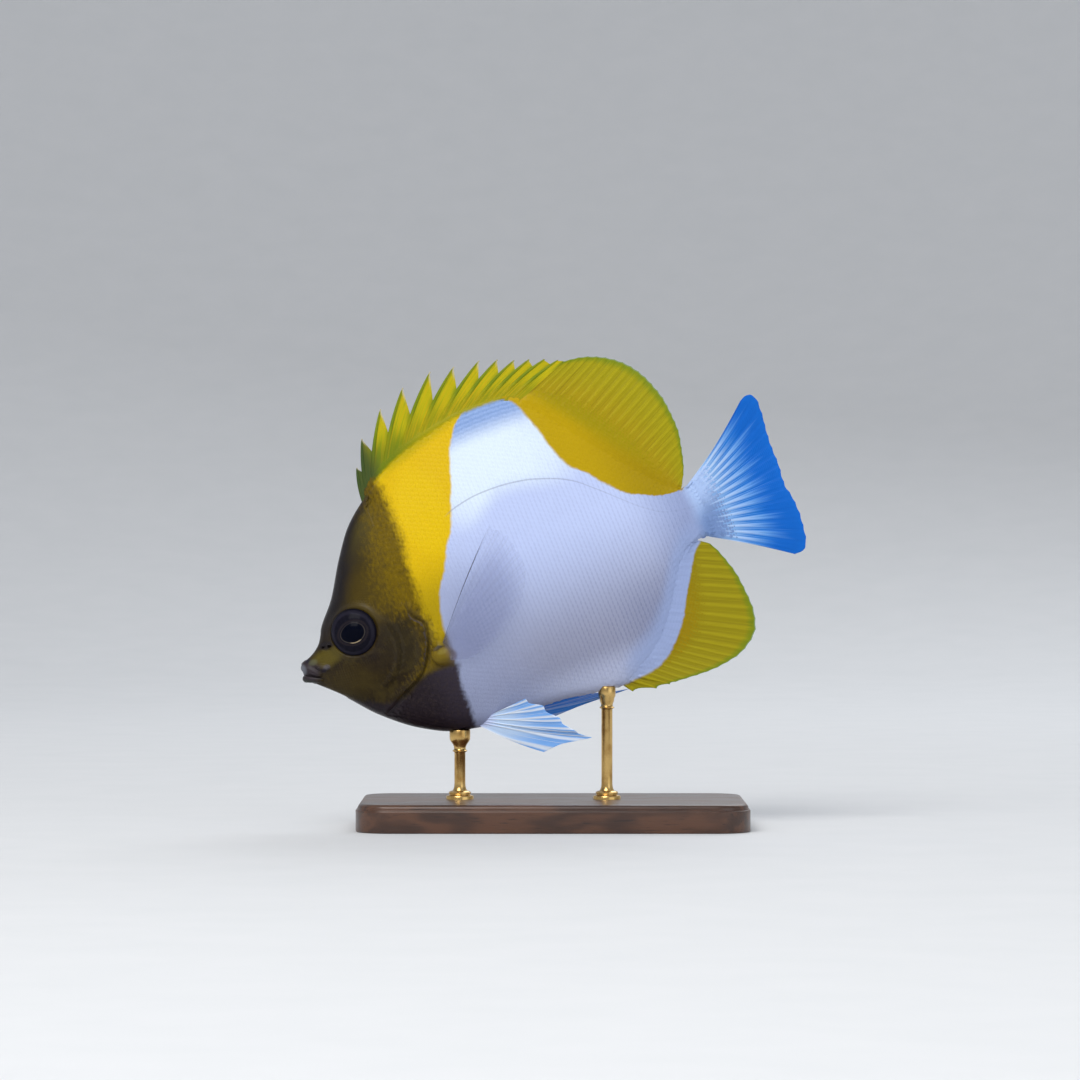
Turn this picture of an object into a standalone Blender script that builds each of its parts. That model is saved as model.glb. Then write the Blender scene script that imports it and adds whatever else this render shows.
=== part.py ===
"""A life-size pyramid butterflyfish, swimming nose down, on a display stand.

The fish is drawn in its own frame, in millimetres: x runs from the tip of the
snout to the tail, y to the fish's right and z to its back. One empty then tilts
it and lifts it over the stand, whose base lies on the floor about the origin.
"""
import math
from bisect import bisect_right

import bmesh
import bpy
from mathutils import Matrix, Vector

MM = 0.001
GAP = 0.3

# Pose: the nose points down, and the snout stands so far from the base's centre
PITCH = math.radians(22.0)
SNOUT_X = -72.4
SNOUT_Z = 44.6

# Body outline in side view, the back with its scaly sheath and the belly
BACK = (
    (1.2, 2.5), (3.9, 3.4), (7.3, 5.6), (10.2, 10.0), (15.5, 16.0), (21.8, 25.7),
    (28.1, 33.9), (34.2, 38.9), (44.0, 45.0), (56.0, 49.0), (72.0, 51.4), (83.0, 50.8),
    (89.5, 46.0), (95.0, 39.2), (104.0, 27.0), (112.0, 17.0), (118.0, 10.3),
    (121.5, 8.1), (124.6, 9.0),
)
BELLY = (
    (1.2, -3.6), (2.8, -5.1), (8.1, -10.3), (16.0, -19.5), (25.5, -27.4), (35.0, -32.2),
    (48.0, -34.6), (63.0, -35.1), (78.8, -37.5), (84.4, -37.9), (88.8, -35.6),
    (95.0, -32.5), (100.0, -28.8), (105.0, -23.0), (108.8, -17.5), (113.0, -11.6),
    (118.0, -7.9), (121.5, -7.2), (124.6, -8.2),
)
SNOUT_END = 1.2
STEM_START = 112.0
STEM_END = 124.6

# Body seen from the front: half its width, the height where it is widest, the
# thickness of its edges, and how hollow the flanks run out under the back
HALF_WIDTH = (
    (1.2, 2.3), (5.0, 3.7), (9.0, 5.1), (13.0, 6.7), (18.6, 8.5), (25.0, 9.8),
    (32.0, 10.7), (40.0, 11.3), (50.0, 11.1), (62.0, 10.3), (76.0, 8.8), (90.0, 6.7),
    (100.0, 5.2), (110.0, 3.9), (118.0, 3.0), (124.6, 2.3),
)
WIDEST = ((1.2, -0.6), (18.0, 4.0), (36.0, 3.0), (62.0, 4.5), (90.0, 5.0), (110.0, 2.0), (124.6, 0.4))
BACK_EDGE = ((1.2, 1.9), (8.0, 2.4), (26.0, 2.3), (40.0, 1.6), (90.0, 1.3), (124.6, 1.1))
BELLY_EDGE = ((1.2, 1.9), (12.0, 2.6), (34.0, 3.2), (56.0, 2.7), (80.0, 1.6), (124.6, 1.1))
BACK_HOLLOW = ((1.2, 0.70), (20.0, 0.80), (50.0, 1.10), (100.0, 1.05), (124.6, 0.60))
BELLY_HOLLOW = 0.80
BACK_SPREAD = 1.7
BELLY_SPREAD = 2.2
EDGE_FLAT = 0.5
EDGE_ROUND = 1.3

# Gill cover: its free rear rim, which parts the head from the torso
GILL_RIM = (
    (17.0, -20.5), (20.5, -19.3), (25.0, -16.8), (30.2, -14.5), (33.4, -11.9),
    (36.0, -7.7), (37.6, -4.0), (38.1, -0.6), (35.8, 2.8), (35.0, 6.8), (35.2, 18.0),
    (34.8, 30.0), (34.2, 38.9),
)
GILL_LIFT = 0.9
GILL_FLARE = 6.0
GILL_TOP = 8.0
GILL_FADE = 5.0
THROAT_FADE = 4.0

# Eye: a flattened ball that looks a little forward, in a raised orbit
EYE = Vector((18.7, 6.9, 5.0))
EYE_RADIUS = 6.9
EYE_DEPTH = 3.4
EYE_TURN = math.radians(13.0)
ORBIT_RADIUS = 7.4
ORBIT_LIFT = 0.5
ORBIT_WIDTH = 0.9

# Cheek plate: a faint ridge round the lower rear of the cheek
CHEEK = (17.0, -1.0)
CHEEK_RADIUS = 12.0
CHEEK_LIFT = 0.35
CHEEK_WIDTH = 0.9
CHEEK_FADE = 6.0
CHEEK_TOP = 10.0

# Mouth: each lip's run from the middle to the corner, as place and radius
UPPER_LIP = (
    (1.30, 0.0, 0.85, 1.15), (1.70, 1.45, 0.80, 1.10), (2.60, 2.50, 0.35, 1.00),
    (3.80, 3.10, -0.35, 0.80), (5.20, 3.60, -1.15, 0.45),
)
LOWER_LIP = (
    (0.55, 0.0, -1.75, 1.15), (1.00, 1.40, -1.80, 1.10), (2.10, 2.45, -1.95, 0.95),
    (3.60, 3.05, -2.15, 0.75), (5.10, 3.50, -2.30, 0.40),
)
LIP_SIDES = 8
JAW_PLATE = Vector((6.3, 4.0, -0.9))
JAW_PLATE_SIZE = Vector((2.2, 0.8, 1.0))
JAW_PLATE_TURN = math.radians(28.0)
JAW_PLATE_SPLAY = 0.3

# Nostrils: two on each side before the eye, each as place in side view and radius
NOSTRILS = ((8.6, 4.3, 0.55), (10.4, 3.9, 0.65))
NOSTRIL_DEPTH = 0.7

# Spiny dorsal fin: twelve spines. Each list pairs a spine's number with the place
# of its base or tip, or with the share of its length where the web before it ends
DORSAL_SPINES = 12
SPINE_BASES = ((1, 35.2), (3, 39.3), (5, 50.0), (8, 68.0), (12, 85.0))
SPINE_TIPS_X = ((1, 36.9), (2, 41.8), (3, 49.6), (5, 66.8), (8, 86.3), (12, 102.3))
SPINE_TIPS_Z = ((1, 48.7), (2, 55.9), (3, 61.5), (5, 65.8), (8, 62.0), (12, 55.4))
SPINE_WEBS = ((1, 0.35), (2, 0.36), (5, 0.43), (8, 0.58), (12, 0.88))
SPINE_BOW = 0.02
SPINE_HALF = 0.80
SPINE_TIP_HALF = 0.30
SPINE_WIDE = 0.80
SPINE_TIP_WIDE = 0.25
SPINE_FOOT = 0.85
SPINE_SWAY = 0.4

# Soft fins: the thickness of their webs and rays
WEB_HALF = 0.26
WEB_FOOT = 0.35
RAY_HALF = 0.30
RAY_ROOT_HALF = 0.75
WEB_ROOT_SWELL = 0.25
EDGE_NOTCH = 0.3

# Soft dorsal fin: base along the back, margin, and rays
SOFT_BASE = (86.25, 121.0)
SOFT_MARGIN = (
    (102.95, 54.95), (108.0, 54.3), (113.2, 52.5), (118.3, 49.2), (122.0, 45.0), (124.6, 39.8),
    (126.5, 32.6), (126.9, 25.0), (125.7, 18.4), (124.1, 13.0), (122.1, 9.3),
)
SOFT_RAYS = 24

# Anal fin: base along the belly, margin of its spines and rays
ANAL_BASE = (84.6, 118.6)
ANAL_SPINES = ((86.6, -40.9), (93.2, -42.6), (97.2, -42.9))
ANAL_MARGIN = (
    (99.0, -43.0), (110.0, -43.7), (117.5, -42.9), (123.1, -40.4), (126.4, -36.9), (127.8, -30.6),
    (127.3, -22.3), (125.6, -15.4), (123.2, -9.9), (120.6, -7.8),
)
ANAL_RAYS = 20
ANAL_NOTCH = 2.2
ANAL_FIRST_NOTCH = 1.6
ANAL_LAST_NOTCH = 0.4

# Tail fin: margin from the upper corner to the lower one, and rays
TAIL_MARGIN = (
    (149.4, 25.9), (151.2, 21.5), (150.5, 14.0), (149.9, 7.0), (149.6, -1.0), (150.3, -8.0),
    (149.8, -14.5), (148.4, -19.0), (145.9, -22.2),
)
TAIL_ROOT = (8.6, -7.8)
TAIL_RAYS = 17
TAIL_ROOT_HALF = 1.9
TAIL_SCALY = 3.0
TAIL_BOW = 0.9
TAIL_NOTCH = 0.4

# Sideways sway of the fins' margins
SWAY = 1.0

# Pectoral fin: its fleshy lobe on the flank, root, and the tips of its rays
LOBE_SIDE = ((37.6, -8.0), (41.3, -6.9), (41.5, -12.9), (37.0, -12.2))
LOBE_DEEP = 8.0
LOBE_OUT = 13.1
LOBE_PROUD = 0.15
PECTORAL_ROOT = ((41.6, -7.1), (41.8, -12.7))
PECTORAL_OUT = 12.2
PECTORAL_SPREAD = (0.05, 0.0016)
PECTORAL_TIPS = (
    (66.0, 19.0), (70.2, 13.0), (71.3, 5.0), (67.5, -3.5), (60.5, -9.8), (53.5, -13.2),
    (47.5, -14.6),
)
PECTORAL_RAYS = 13
PECTORAL_NOTCH = 0.4

# Pelvic fins: root on the belly, then the tips of the spine and five soft rays.
# The left one is spread to the side and the right one lies back along the belly
PELVIC_ROOT = ((41.6, 1.8), (46.0, 4.2))
PELVIC_SLIM = 0.75
PELVIC_TIPS = {
    "left": (
        (56.3, 13.0, -46.9), (70.6, 23.0, -47.8), (67.0, 21.5, -44.4), (64.2, 19.5, -39.4),
        (61.0, 17.0, -34.4), (57.0, 14.0, -30.8),
    ),
    "right": (
        (62.0, 5.2, -39.3), (85.6, 7.6, -40.1), (79.5, 8.4, -38.6), (73.5, 9.0, -36.2),
        (67.5, 9.4, -33.6), (61.5, 9.6, -31.2),
    ),
}
PELVIC_NOTCH = 1.2
PELVIC_BOW = 0.9

# Stand: base and two rods, each with its place from the snout and head radius
BASE = Vector((112.0, 64.0, 8.0))
BASE_CORNER = 10.0
BASE_EDGE = 1.4
RODS = {"front": (45.6, 3.0), "rear": (88.0, 2.5)}
ROD_RADIUS = 1.6
ROD_FOOT_RADIUS = 4.0
ROD_FOOT_EDGE = 1.44
ROD_FOOT_HEIGHT = 2.4
ROD_NECK_RADIUS = 2.2
ROD_SHAFT_START = 3.4
ROD_CUP_FLARE = 1.8
ROD_HEAD_HEIGHT = 5.0
ROD_GRIP = 2.2
ROD_SIDES = 20
KEEL_SPAN = (20.0, 110.0)
HOLLOW_SPAN = (20.0, 100.0)

# Mesh counts
BODY_ROWS = 22
ROWS_EVEN = 0.35
HEAD_COLUMNS = 26
HEAD_CROWD = 1.2
TORSO_COLUMNS = 24
STEM_COLUMNS = 6
FIN_ROWS = 4
EYE_SEGMENTS = 20
EYE_RINGS = 10

# Finishes: colour, roughness and metallic value
FINISHES = {
    "head": ((0.30, 0.24, 0.13, 1.0), 0.42, 0.0),
    "torso": ((0.72, 0.74, 0.86, 1.0), 0.38, 0.0),
    "tail_stem": ((0.78, 0.80, 0.90, 1.0), 0.38, 0.0),
    "dorsal_fin": ((0.62, 0.48, 0.04, 1.0), 0.45, 0.0),
    "anal_fin": ((0.66, 0.52, 0.05, 1.0), 0.45, 0.0),
    "caudal_fin": ((0.42, 0.60, 0.86, 1.0), 0.42, 0.0),
    "pectoral_fin": ((0.66, 0.68, 0.62, 1.0), 0.35, 0.0),
    "pelvic_fin": ((0.62, 0.72, 0.88, 1.0), 0.42, 0.0),
    "eye": ((0.02, 0.02, 0.05, 1.0), 0.10, 0.0),
    "stand_base": ((0.10, 0.07, 0.05, 1.0), 0.35, 0.0),
    "stand_rod": ((0.72, 0.66, 0.50, 1.0), 0.25, 1.0),
}


def smooth(points):
    """A smooth curve through points of rising x that never overshoots them."""
    xs, ys = zip(*points)
    rises = [(y1 - y0) / (x1 - x0) for x0, x1, y0, y1 in zip(xs, xs[1:], ys, ys[1:])]
    slopes = [rises[0]]
    for before, after in zip(rises, rises[1:]):
        turns = before * after <= 0.0
        slopes.append(0.0 if turns else 2.0 * before * after / (before + after))
    slopes.append(rises[-1])

    def value(x):
        x = min(max(x, xs[0]), xs[-1])
        i = min(bisect_right(xs, x), len(xs) - 1) - 1
        width = xs[i + 1] - xs[i]
        t = (x - xs[i]) / width
        start = ys[i] + t * t * (3.0 - 2.0 * t) * (ys[i + 1] - ys[i])
        bend = (1.0 - t) * slopes[i] - t * slopes[i + 1]
        return start + width * t * (1.0 - t) * bend

    return value


def margin_curve(points):
    """A smooth line through points, as a function of the share of its length."""
    lengths = [0.0]
    for first, second in zip(points, points[1:]):
        lengths.append(lengths[-1] + (Vector(second) - Vector(first)).length)
    shares = [length / lengths[-1] for length in lengths]
    axes = [smooth(list(zip(shares, values))) for values in zip(*points)]
    return lambda share: Vector([axis(share) for axis in axes])


back = smooth(BACK)
belly = smooth(BELLY)
half_width = smooth(HALF_WIDTH)
widest = smooth(WIDEST)
back_edge = smooth(BACK_EDGE)
belly_edge = smooth(BELLY_EDGE)
back_hollow = smooth(BACK_HOLLOW)


def slope(line, x, step=0.2):
    """How steeply a line rises at a place along the body."""
    return (line(x + step) - line(x - step)) / (2.0 * step)


def bell(distance, width):
    """A rounded ridge, 1 on its crest."""
    return math.exp(-(distance / width) ** 2)


def ease(t):
    """A soft step from 0 to 1."""
    t = min(max(t, 0.0), 1.0)
    return t * t * (3.0 - 2.0 * t)


def flank(x, z):
    """Half the body's width at a place in side view."""
    middle = widest(x)
    if z >= middle:
        line, edge, spread, hollow = back, back_edge(x), BACK_SPREAD, back_hollow(x)
    else:
        line, edge, spread, hollow = belly, belly_edge(x), BELLY_SPREAD, BELLY_HOLLOW
    reach = abs(line(x) - middle)
    up = min(abs(z - middle) / reach, 1.0)
    swell = max(1.0 - up ** spread, 0.0) ** hollow
    rounding = EDGE_ROUND * edge * math.hypot(1.0, slope(line, x))
    depth = min((1.0 - up) * reach / rounding, 1.0)
    rim = EDGE_FLAT + (1.0 - EDGE_FLAT) * math.sqrt(1.0 - (1.0 - depth) ** 2)
    return (half_width(x) - edge) * swell + edge * rim


def share_at(x, z):
    """How far up the body a place lies, from 0 on the belly to 1 on the back."""
    return (z - belly(x)) / (back(x) - belly(x))


gill_rim = smooth([(share_at(x, z), x) for x, z in GILL_RIM])


def head_relief(x, z):
    """What the orbit, cheek plate and gill cover add to the head's half width."""
    orbit = math.hypot(x - EYE.x, z - EYE.z) - ORBIT_RADIUS
    cheek = math.hypot(x - CHEEK[0], z - CHEEK[1]) - CHEEK_RADIUS
    behind = ease((x - CHEEK[0]) / CHEEK_FADE) * ease((CHEEK[1] + CHEEK_TOP - z) / CHEEK_FADE)
    rim = ease(1.0 - (gill_rim(share_at(x, z)) - x) / GILL_FLARE) ** 2
    below = ease((GILL_TOP - z) / GILL_FADE) * ease((z - belly(x)) / THROAT_FADE)
    return (
        ORBIT_LIFT * bell(orbit, ORBIT_WIDTH)
        + CHEEK_LIFT * bell(cheek, CHEEK_WIDTH) * behind
        + GILL_LIFT * rim * below
    )


def add_object(name, mesh, finish):
    """An object in the scene with its own material."""
    obj = bpy.data.objects.new(name, mesh)
    bpy.context.scene.collection.objects.link(obj)
    material = bpy.data.materials.new(name)
    material.use_nodes = True
    shader = material.node_tree.nodes["Principled BSDF"]
    colour, roughness, metallic = FINISHES[finish]
    shader.inputs["Base Color"].default_value = colour
    shader.inputs["Roughness"].default_value = roughness
    shader.inputs["Metallic"].default_value = metallic
    mesh.materials.append(material)
    return obj


def round_off(obj, angle=40.0):
    """Shades a piece smooth but for edges that turn by more than the angle."""
    obj.data.shade_smooth()
    obj.data.set_sharp_from_angle(angle=math.radians(angle))
    return obj


def from_bmesh(name, bm, finish):
    """An object from a closed mesh, with its faces turned outwards."""
    bmesh.ops.recalc_face_normals(bm, faces=bm.faces)
    if bm.calc_volume(signed=True) < 0.0:
        bmesh.ops.reverse_faces(bm, faces=bm.faces)
    mesh = bpy.data.meshes.new(name)
    bm.to_mesh(mesh)
    bm.free()
    return add_object(name, mesh, finish)


def plate(name, points, faces, finish, face=Vector((0.0, 1.0, 0.0))):
    """A closed plate of varying thickness, split into triangles alike on both sides.

    points are (middle, half thickness) pairs, and face is the way the thickness runs.
    """
    bm = bmesh.new()
    sides = []
    for sign in (1.0, -1.0):
        sides.append([bm.verts.new((middle + sign * half * face) * MM) for middle, half in points])
    edges = {}
    for corners in faces:
        for i in range(1, len(corners) - 1):
            triangle = (corners[0], corners[i], corners[i + 1])
            bm.faces.new([sides[0][k] for k in triangle])
            bm.faces.new([sides[1][k] for k in reversed(triangle)])
        for first, second in zip(corners, corners[1:] + corners[:1]):
            edges[(first, second)] = True
    for first, second in edges:
        if (second, first) in edges:
            continue
        near, far = sides
        bm.faces.new((near[second], near[first], far[first]))
        bm.faces.new((near[second], far[first], far[second]))
    return from_bmesh(name, bm, finish)


def grid(columns, rows):
    """Faces between columns of points numbered one column after another."""
    faces = []
    for column in range(columns - 1):
        for row in range(rows - 1):
            first = column * rows + row
            faces.append((first, first + rows, first + rows + 1, first + 1))
    return faces


def body_piece(name, start, end, columns, relief=None, clear=0.0, crowd=1.0):
    """A length of the body between two lines, each the x at a share of the height.

    crowd above 1 sets the columns closer at the start, and clear swells the piece.
    """
    points = []
    for column in range(columns + 1):
        along = (column / columns) ** crowd
        for row in range(BODY_ROWS + 1):
            even = row / BODY_ROWS
            crowded = (1.0 - math.cos(math.pi * even)) / 2.0
            share = ROWS_EVEN * even + (1.0 - ROWS_EVEN) * crowded
            x = start(share) + (end(share) - start(share)) * along
            z = belly(x) + (back(x) - belly(x)) * share
            half = flank(x, z)
            if relief:
                half += relief(x, z)
            z += clear * (2.0 * share - 1.0)
            points.append((Vector((x, 0.0, z)), half + clear))
    faces = grid(columns + 1, BODY_ROWS + 1)
    return round_off(plate(name, points, faces, "torso" if clear else name), 60.0)


def combine(obj, pieces, operation):
    """Joins pieces to an object, or cuts them from it, and keeps the largest body."""
    group = bpy.data.collections.new(obj.name + "_pieces")
    bpy.context.scene.collection.children.link(group)
    for piece in pieces:
        bpy.context.scene.collection.objects.unlink(piece)
        group.objects.link(piece)
    boolean = obj.modifiers.new("combine", "BOOLEAN")
    boolean.operation = operation
    boolean.operand_type = "COLLECTION"
    boolean.collection = group
    boolean.solver = "EXACT"
    graph = bpy.context.evaluated_depsgraph_get()
    whole = bpy.data.meshes.new_from_object(obj.evaluated_get(graph))
    obj.modifiers.remove(boolean)
    obj.data = whole
    for piece in pieces:
        bpy.data.objects.remove(piece)
    bpy.data.collections.remove(group)
    keep_largest(obj)


def keep_largest(obj):
    """Drops every loose shell of an object but the largest."""
    bm = bmesh.new()
    bm.from_mesh(obj.data)
    left = set(bm.verts)
    shells = []
    while left:
        shell = set()
        edge_of = [left.pop()]
        while edge_of:
            vert = edge_of.pop()
            shell.add(vert)
            for edge in vert.link_edges:
                other = edge.other_vert(vert)
                if other in left:
                    left.discard(other)
                    edge_of.append(other)
        shells.append(shell)
    shells.sort(key=len)
    scraps = [vert for shell in shells[:-1] for vert in shell]
    bmesh.ops.delete(bm, geom=scraps, context="VERTS")
    bm.to_mesh(obj.data)
    bm.free()


def ball(name, centre, sizes, turn, finish, segments=12, rings=6):
    """A ball squashed to three half sizes, turned and set at a place."""
    bm = bmesh.new()
    bmesh.ops.create_uvsphere(bm, u_segments=segments, v_segments=rings, radius=1.0)
    upright = Matrix.Rotation(math.radians(90.0), 4, "X")
    shape = Matrix.Diagonal((*sizes, 1.0))
    bm.transform(Matrix.Scale(MM, 4) @ Matrix.Translation(centre) @ turn @ shape @ upright)
    return from_bmesh(name, bm, finish)


def eye_ball(name, side, grow=0.0):
    """The ball of an eye in its place, swollen by grow to cut its socket."""
    centre = Vector((EYE.x, side * EYE.y, EYE.z))
    sizes = (EYE_RADIUS + grow, EYE_DEPTH + grow, EYE_RADIUS + grow)
    turn = Matrix.Rotation(side * EYE_TURN, 4, "Z")
    return ball(name, centre, sizes, turn, "eye", EYE_SEGMENTS, EYE_RINGS)


def lip(name, run):
    """A lip as a tapered tube round the snout, from one corner to the other."""
    path = [(x, -y, z, radius) for x, y, z, radius in reversed(run[1:])]
    path += list(run)
    middles = [Vector(place[:3]) for place in path]
    bm = bmesh.new()
    rings = []
    for i, middle in enumerate(middles):
        ahead = middles[min(i + 1, len(path) - 1)] - middles[max(i - 1, 0)]
        across = Vector((0.0, 0.0, 1.0)).cross(ahead).normalized()
        upward = ahead.cross(across).normalized()
        ring = []
        for k in range(LIP_SIDES):
            angle = 2.0 * math.pi * k / LIP_SIDES
            out = math.cos(angle) * across + math.sin(angle) * upward
            ring.append(bm.verts.new((middle + out * path[i][3]) * MM))
        rings.append(ring)
    for first, second in zip(rings, rings[1:]):
        for k in range(LIP_SIDES):
            after = (k + 1) % LIP_SIDES
            bm.faces.new((first[k], second[k], second[after], first[after]))
    bm.faces.new(rings[0])
    bm.faces.new(rings[-1])
    return from_bmesh(name, bm, "head")


def make_head():
    """The head with its lips and jaw plates, eye sockets and nostrils."""
    head = body_piece(
        "head", lambda share: SNOUT_END, gill_rim, HEAD_COLUMNS, head_relief, crowd=HEAD_CROWD
    )
    parts = [lip("upper_lip", UPPER_LIP), lip("lower_lip", LOWER_LIP)]
    for side in (1.0, -1.0):
        centre = Vector((JAW_PLATE.x, side * JAW_PLATE.y, JAW_PLATE.z))
        turn = Matrix.Rotation(JAW_PLATE_TURN, 4, "Y") @ Matrix.Rotation(side * JAW_PLATE_SPLAY, 4, "Z")
        parts.append(ball("jaw_plate", centre, JAW_PLATE_SIZE, turn, "head"))
    combine(head, parts, "UNION")
    hollows = []
    for side in (1.0, -1.0):
        hollows.append(eye_ball("socket", side, GAP))
        for x, z, radius in NOSTRILS:
            centre = Vector((x, side * flank(x, z), z))
            sizes = (radius, NOSTRIL_DEPTH, radius)
            hollows.append(ball("nostril", centre, sizes, Matrix.Identity(4), "head", 8, 4))
    combine(head, hollows, "DIFFERENCE")
    return round_off(head, 50.0)


def torso_start(share, step=0.01):
    """The gill cover's rim, moved back so that the gap across it is even."""
    low, high = max(share - step, 0.0), min(share + step, 1.0)
    x = gill_rim(share)
    rise = (high - low) * (back(x) - belly(x))
    lean = (gill_rim(high) - gill_rim(low)) / rise
    return x + GAP * math.hypot(1.0, lean)


def pectoral_lobe(side):
    """The fleshy lobe that carries a pectoral fin, flush in front and proud behind."""
    bm = bmesh.new()
    corners = []
    for i, (x, z) in enumerate(LOBE_SIDE):
        out = LOBE_OUT if i in (1, 2) else flank(x, z) + LOBE_PROUD
        corners.append([bm.verts.new(Vector((x, side * y, z)) * MM) for y in (LOBE_DEEP, out)])
    for inner_outer in (0, 1):
        bm.faces.new([corner[inner_outer] for corner in corners])
    for first, second in zip(corners, corners[1:] + corners[:1]):
        bm.faces.new((first[0], second[0], second[1], first[1]))
    return from_bmesh("lobe", bm, "torso")


def make_torso():
    torso = body_piece("torso", torso_start, lambda share: STEM_START, TORSO_COLUMNS)
    combine(torso, [pectoral_lobe(1.0), pectoral_lobe(-1.0)], "UNION")
    return round_off(torso, 50.0)


def make_tail_stem():
    start = STEM_START + GAP
    return body_piece("tail_stem", lambda share: start, lambda share: STEM_END, STEM_COLUMNS)


def off_outline(line, x, sign):
    """A place on the outline of the back or belly, moved out by the gap."""
    lean = slope(line, x)
    out = sign * GAP / math.hypot(1.0, lean)
    return Vector((x - lean * out, 0.0, line(x) + out))


def make_spiny_dorsal():
    """Twelve spines as ridges, joined by webs that stop part way up the next spine."""
    base_x = smooth(SPINE_BASES)
    tip_x = smooth(SPINE_TIPS_X)
    tip_z = smooth(SPINE_TIPS_Z)
    web_end = smooth(SPINE_WEBS)
    points = []
    faces = []
    rows = 5
    for number in range(1, DORSAL_SPINES + 1):
        base = off_outline(back, base_x(number), 1.0)
        tip = Vector((tip_x(number), 0.0, tip_z(number)))
        run = tip - base
        ahead = Vector((-run.z, 0.0, run.x)).normalized()
        web = web_end(number)
        heights = (0.0, web / 2.0, web, (1.0 + web) / 2.0, 1.0)
        first = len(points)
        for column in (1.0, 0.0, -1.0):
            for height in heights:
                width = SPINE_TIP_WIDE + (SPINE_WIDE - SPINE_TIP_WIDE) * (1.0 - height)
                bow = SPINE_BOW * run.length * 4.0 * height * (1.0 - height)
                middle = base + run * height + ahead * (bow + column * width)
                half = SPINE_TIP_HALF + (SPINE_HALF - SPINE_TIP_HALF) * (1.0 - height)
                if column:
                    half = WEB_HALF + WEB_FOOT * (1.0 - height) ** 3
                if height == 0.0:
                    middle = off_outline(back, base.x - column * SPINE_FOOT, 1.0)
                sway = SWAY * SPINE_SWAY * math.sin(math.pi * number / 3.0)
                middle.y = sway * height ** 2
                points.append((middle, half))
        faces += [tuple(first + k for k in face) for face in grid(3, rows)]
        if number < DORSAL_SPINES:
            left = first + 2 * rows
            right = first + 3 * rows
            faces.append((left, right, right + 1, left + 1))
            faces.append((left + 1, right + 1, right + 2, left + 2))
            faces.append((left + 2, right + 2, left + 3))
            faces.append((left + 3, right + 2, left + 4))
    return round_off(plate("dorsal_fin_spiny", points, faces, "dorsal_fin"), 60.0)


def rayed_fin(
    name, rays, root, tip, finish, half=None, bow=None, sway=0.0, face=Vector((0.0, 1.0, 0.0))
):
    """A fin with its rays as ridges, which root and tip place for a share of its width.

    half may change the thickness at a share and height, and bow is how far a ray
    bends at its middle. face is the way the thickness and the sway run.
    """
    columns = 2 * rays - 1
    points = []
    for column in range(columns):
        share = column / (columns - 1)
        is_ray = column % 2 == 0
        start = root(share)
        run = tip(share, is_ray) - start
        for row in range(FIN_ROWS + 1):
            height = row / FIN_ROWS
            taper = (1.0 - height) ** 1.5
            thick = RAY_HALF + (RAY_ROOT_HALF - RAY_HALF) * taper
            if not is_ray:
                thick = WEB_HALF + WEB_ROOT_SWELL * taper
            if half:
                thick = half(share, height, thick)
            middle = start + run * height
            middle += face * sway * height ** 2 * math.sin(2.0 * math.pi * share)
            if bow:
                middle += bow(share) * math.sin(math.pi * height)
            points.append((middle, thick))
    return round_off(plate(name, points, grid(columns, FIN_ROWS + 1), finish, face), 60.0)


def make_soft_dorsal():
    """The rear of the dorsal fin, rounded and held by soft rays."""
    margin = margin_curve([(x, 0.0, z) for x, z in SOFT_MARGIN])

    def root(share):
        return off_outline(back, SOFT_BASE[0] + share * (SOFT_BASE[1] - SOFT_BASE[0]), 1.0)

    def tip(share, is_ray):
        edge = margin(share)
        return edge if is_ray else edge + (root(share) - edge).normalized() * EDGE_NOTCH

    return rayed_fin("dorsal_fin_soft", SOFT_RAYS, root, tip, "dorsal_fin", sway=SWAY)


def make_anal():
    """Three stout spines whose webs are notched, then the soft rays."""
    soft = margin_curve([(x, 0.0, z) for x, z in ANAL_MARGIN])
    rays = ANAL_RAYS + len(ANAL_SPINES)
    steps = 2 * (rays - 1)
    soft_start = 2 * len(ANAL_SPINES)

    def root(share):
        return off_outline(belly, ANAL_BASE[0] + share * (ANAL_BASE[1] - ANAL_BASE[0]), -1.0)

    def tip(share, is_ray):
        column = round(share * steps)
        if column >= soft_start:
            edge = soft((column - soft_start) / (steps - soft_start))
            return edge if is_ray else edge + (root(share) - edge).normalized() * EDGE_NOTCH
        spines = [Vector((x, 0.0, z)) for x, z in ANAL_SPINES] + [soft(0.0)]
        if is_ray:
            return spines[column // 2]
        between = (spines[column // 2] + spines[column // 2 + 1]) / 2.0
        depth = min(ANAL_NOTCH, ANAL_FIRST_NOTCH + column)
        if column == soft_start - 1:
            depth = ANAL_LAST_NOTCH
        return between + (root(share) - between).normalized() * depth

    return rayed_fin("anal_fin", rays, root, tip, "anal_fin", sway=-SWAY)


def make_caudal():
    """The tail fin, thick at its scaly foot."""
    margin = margin_curve([(x, 0.0, z) for x, z in TAIL_MARGIN])
    top, bottom = TAIL_ROOT

    def root(share):
        return Vector((STEM_END + GAP, 0.0, top + (bottom - top) * share))

    def tip(share, is_ray):
        edge = margin(share)
        return edge if is_ray else edge + (root(share) - edge).normalized() * TAIL_NOTCH

    def half(share, height, thick):
        scaly = math.sin(math.pi * share) * max(1.0 - TAIL_SCALY * height, 0.0)
        return thick + (TAIL_ROOT_HALF - RAY_ROOT_HALF) * scaly

    def bow(share):
        return Vector((0.0, 0.0, TAIL_BOW * (1.0 - 2.0 * share) ** 3))

    return rayed_fin("caudal_fin", TAIL_RAYS, root, tip, "caudal_fin", half, bow, SWAY)


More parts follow.
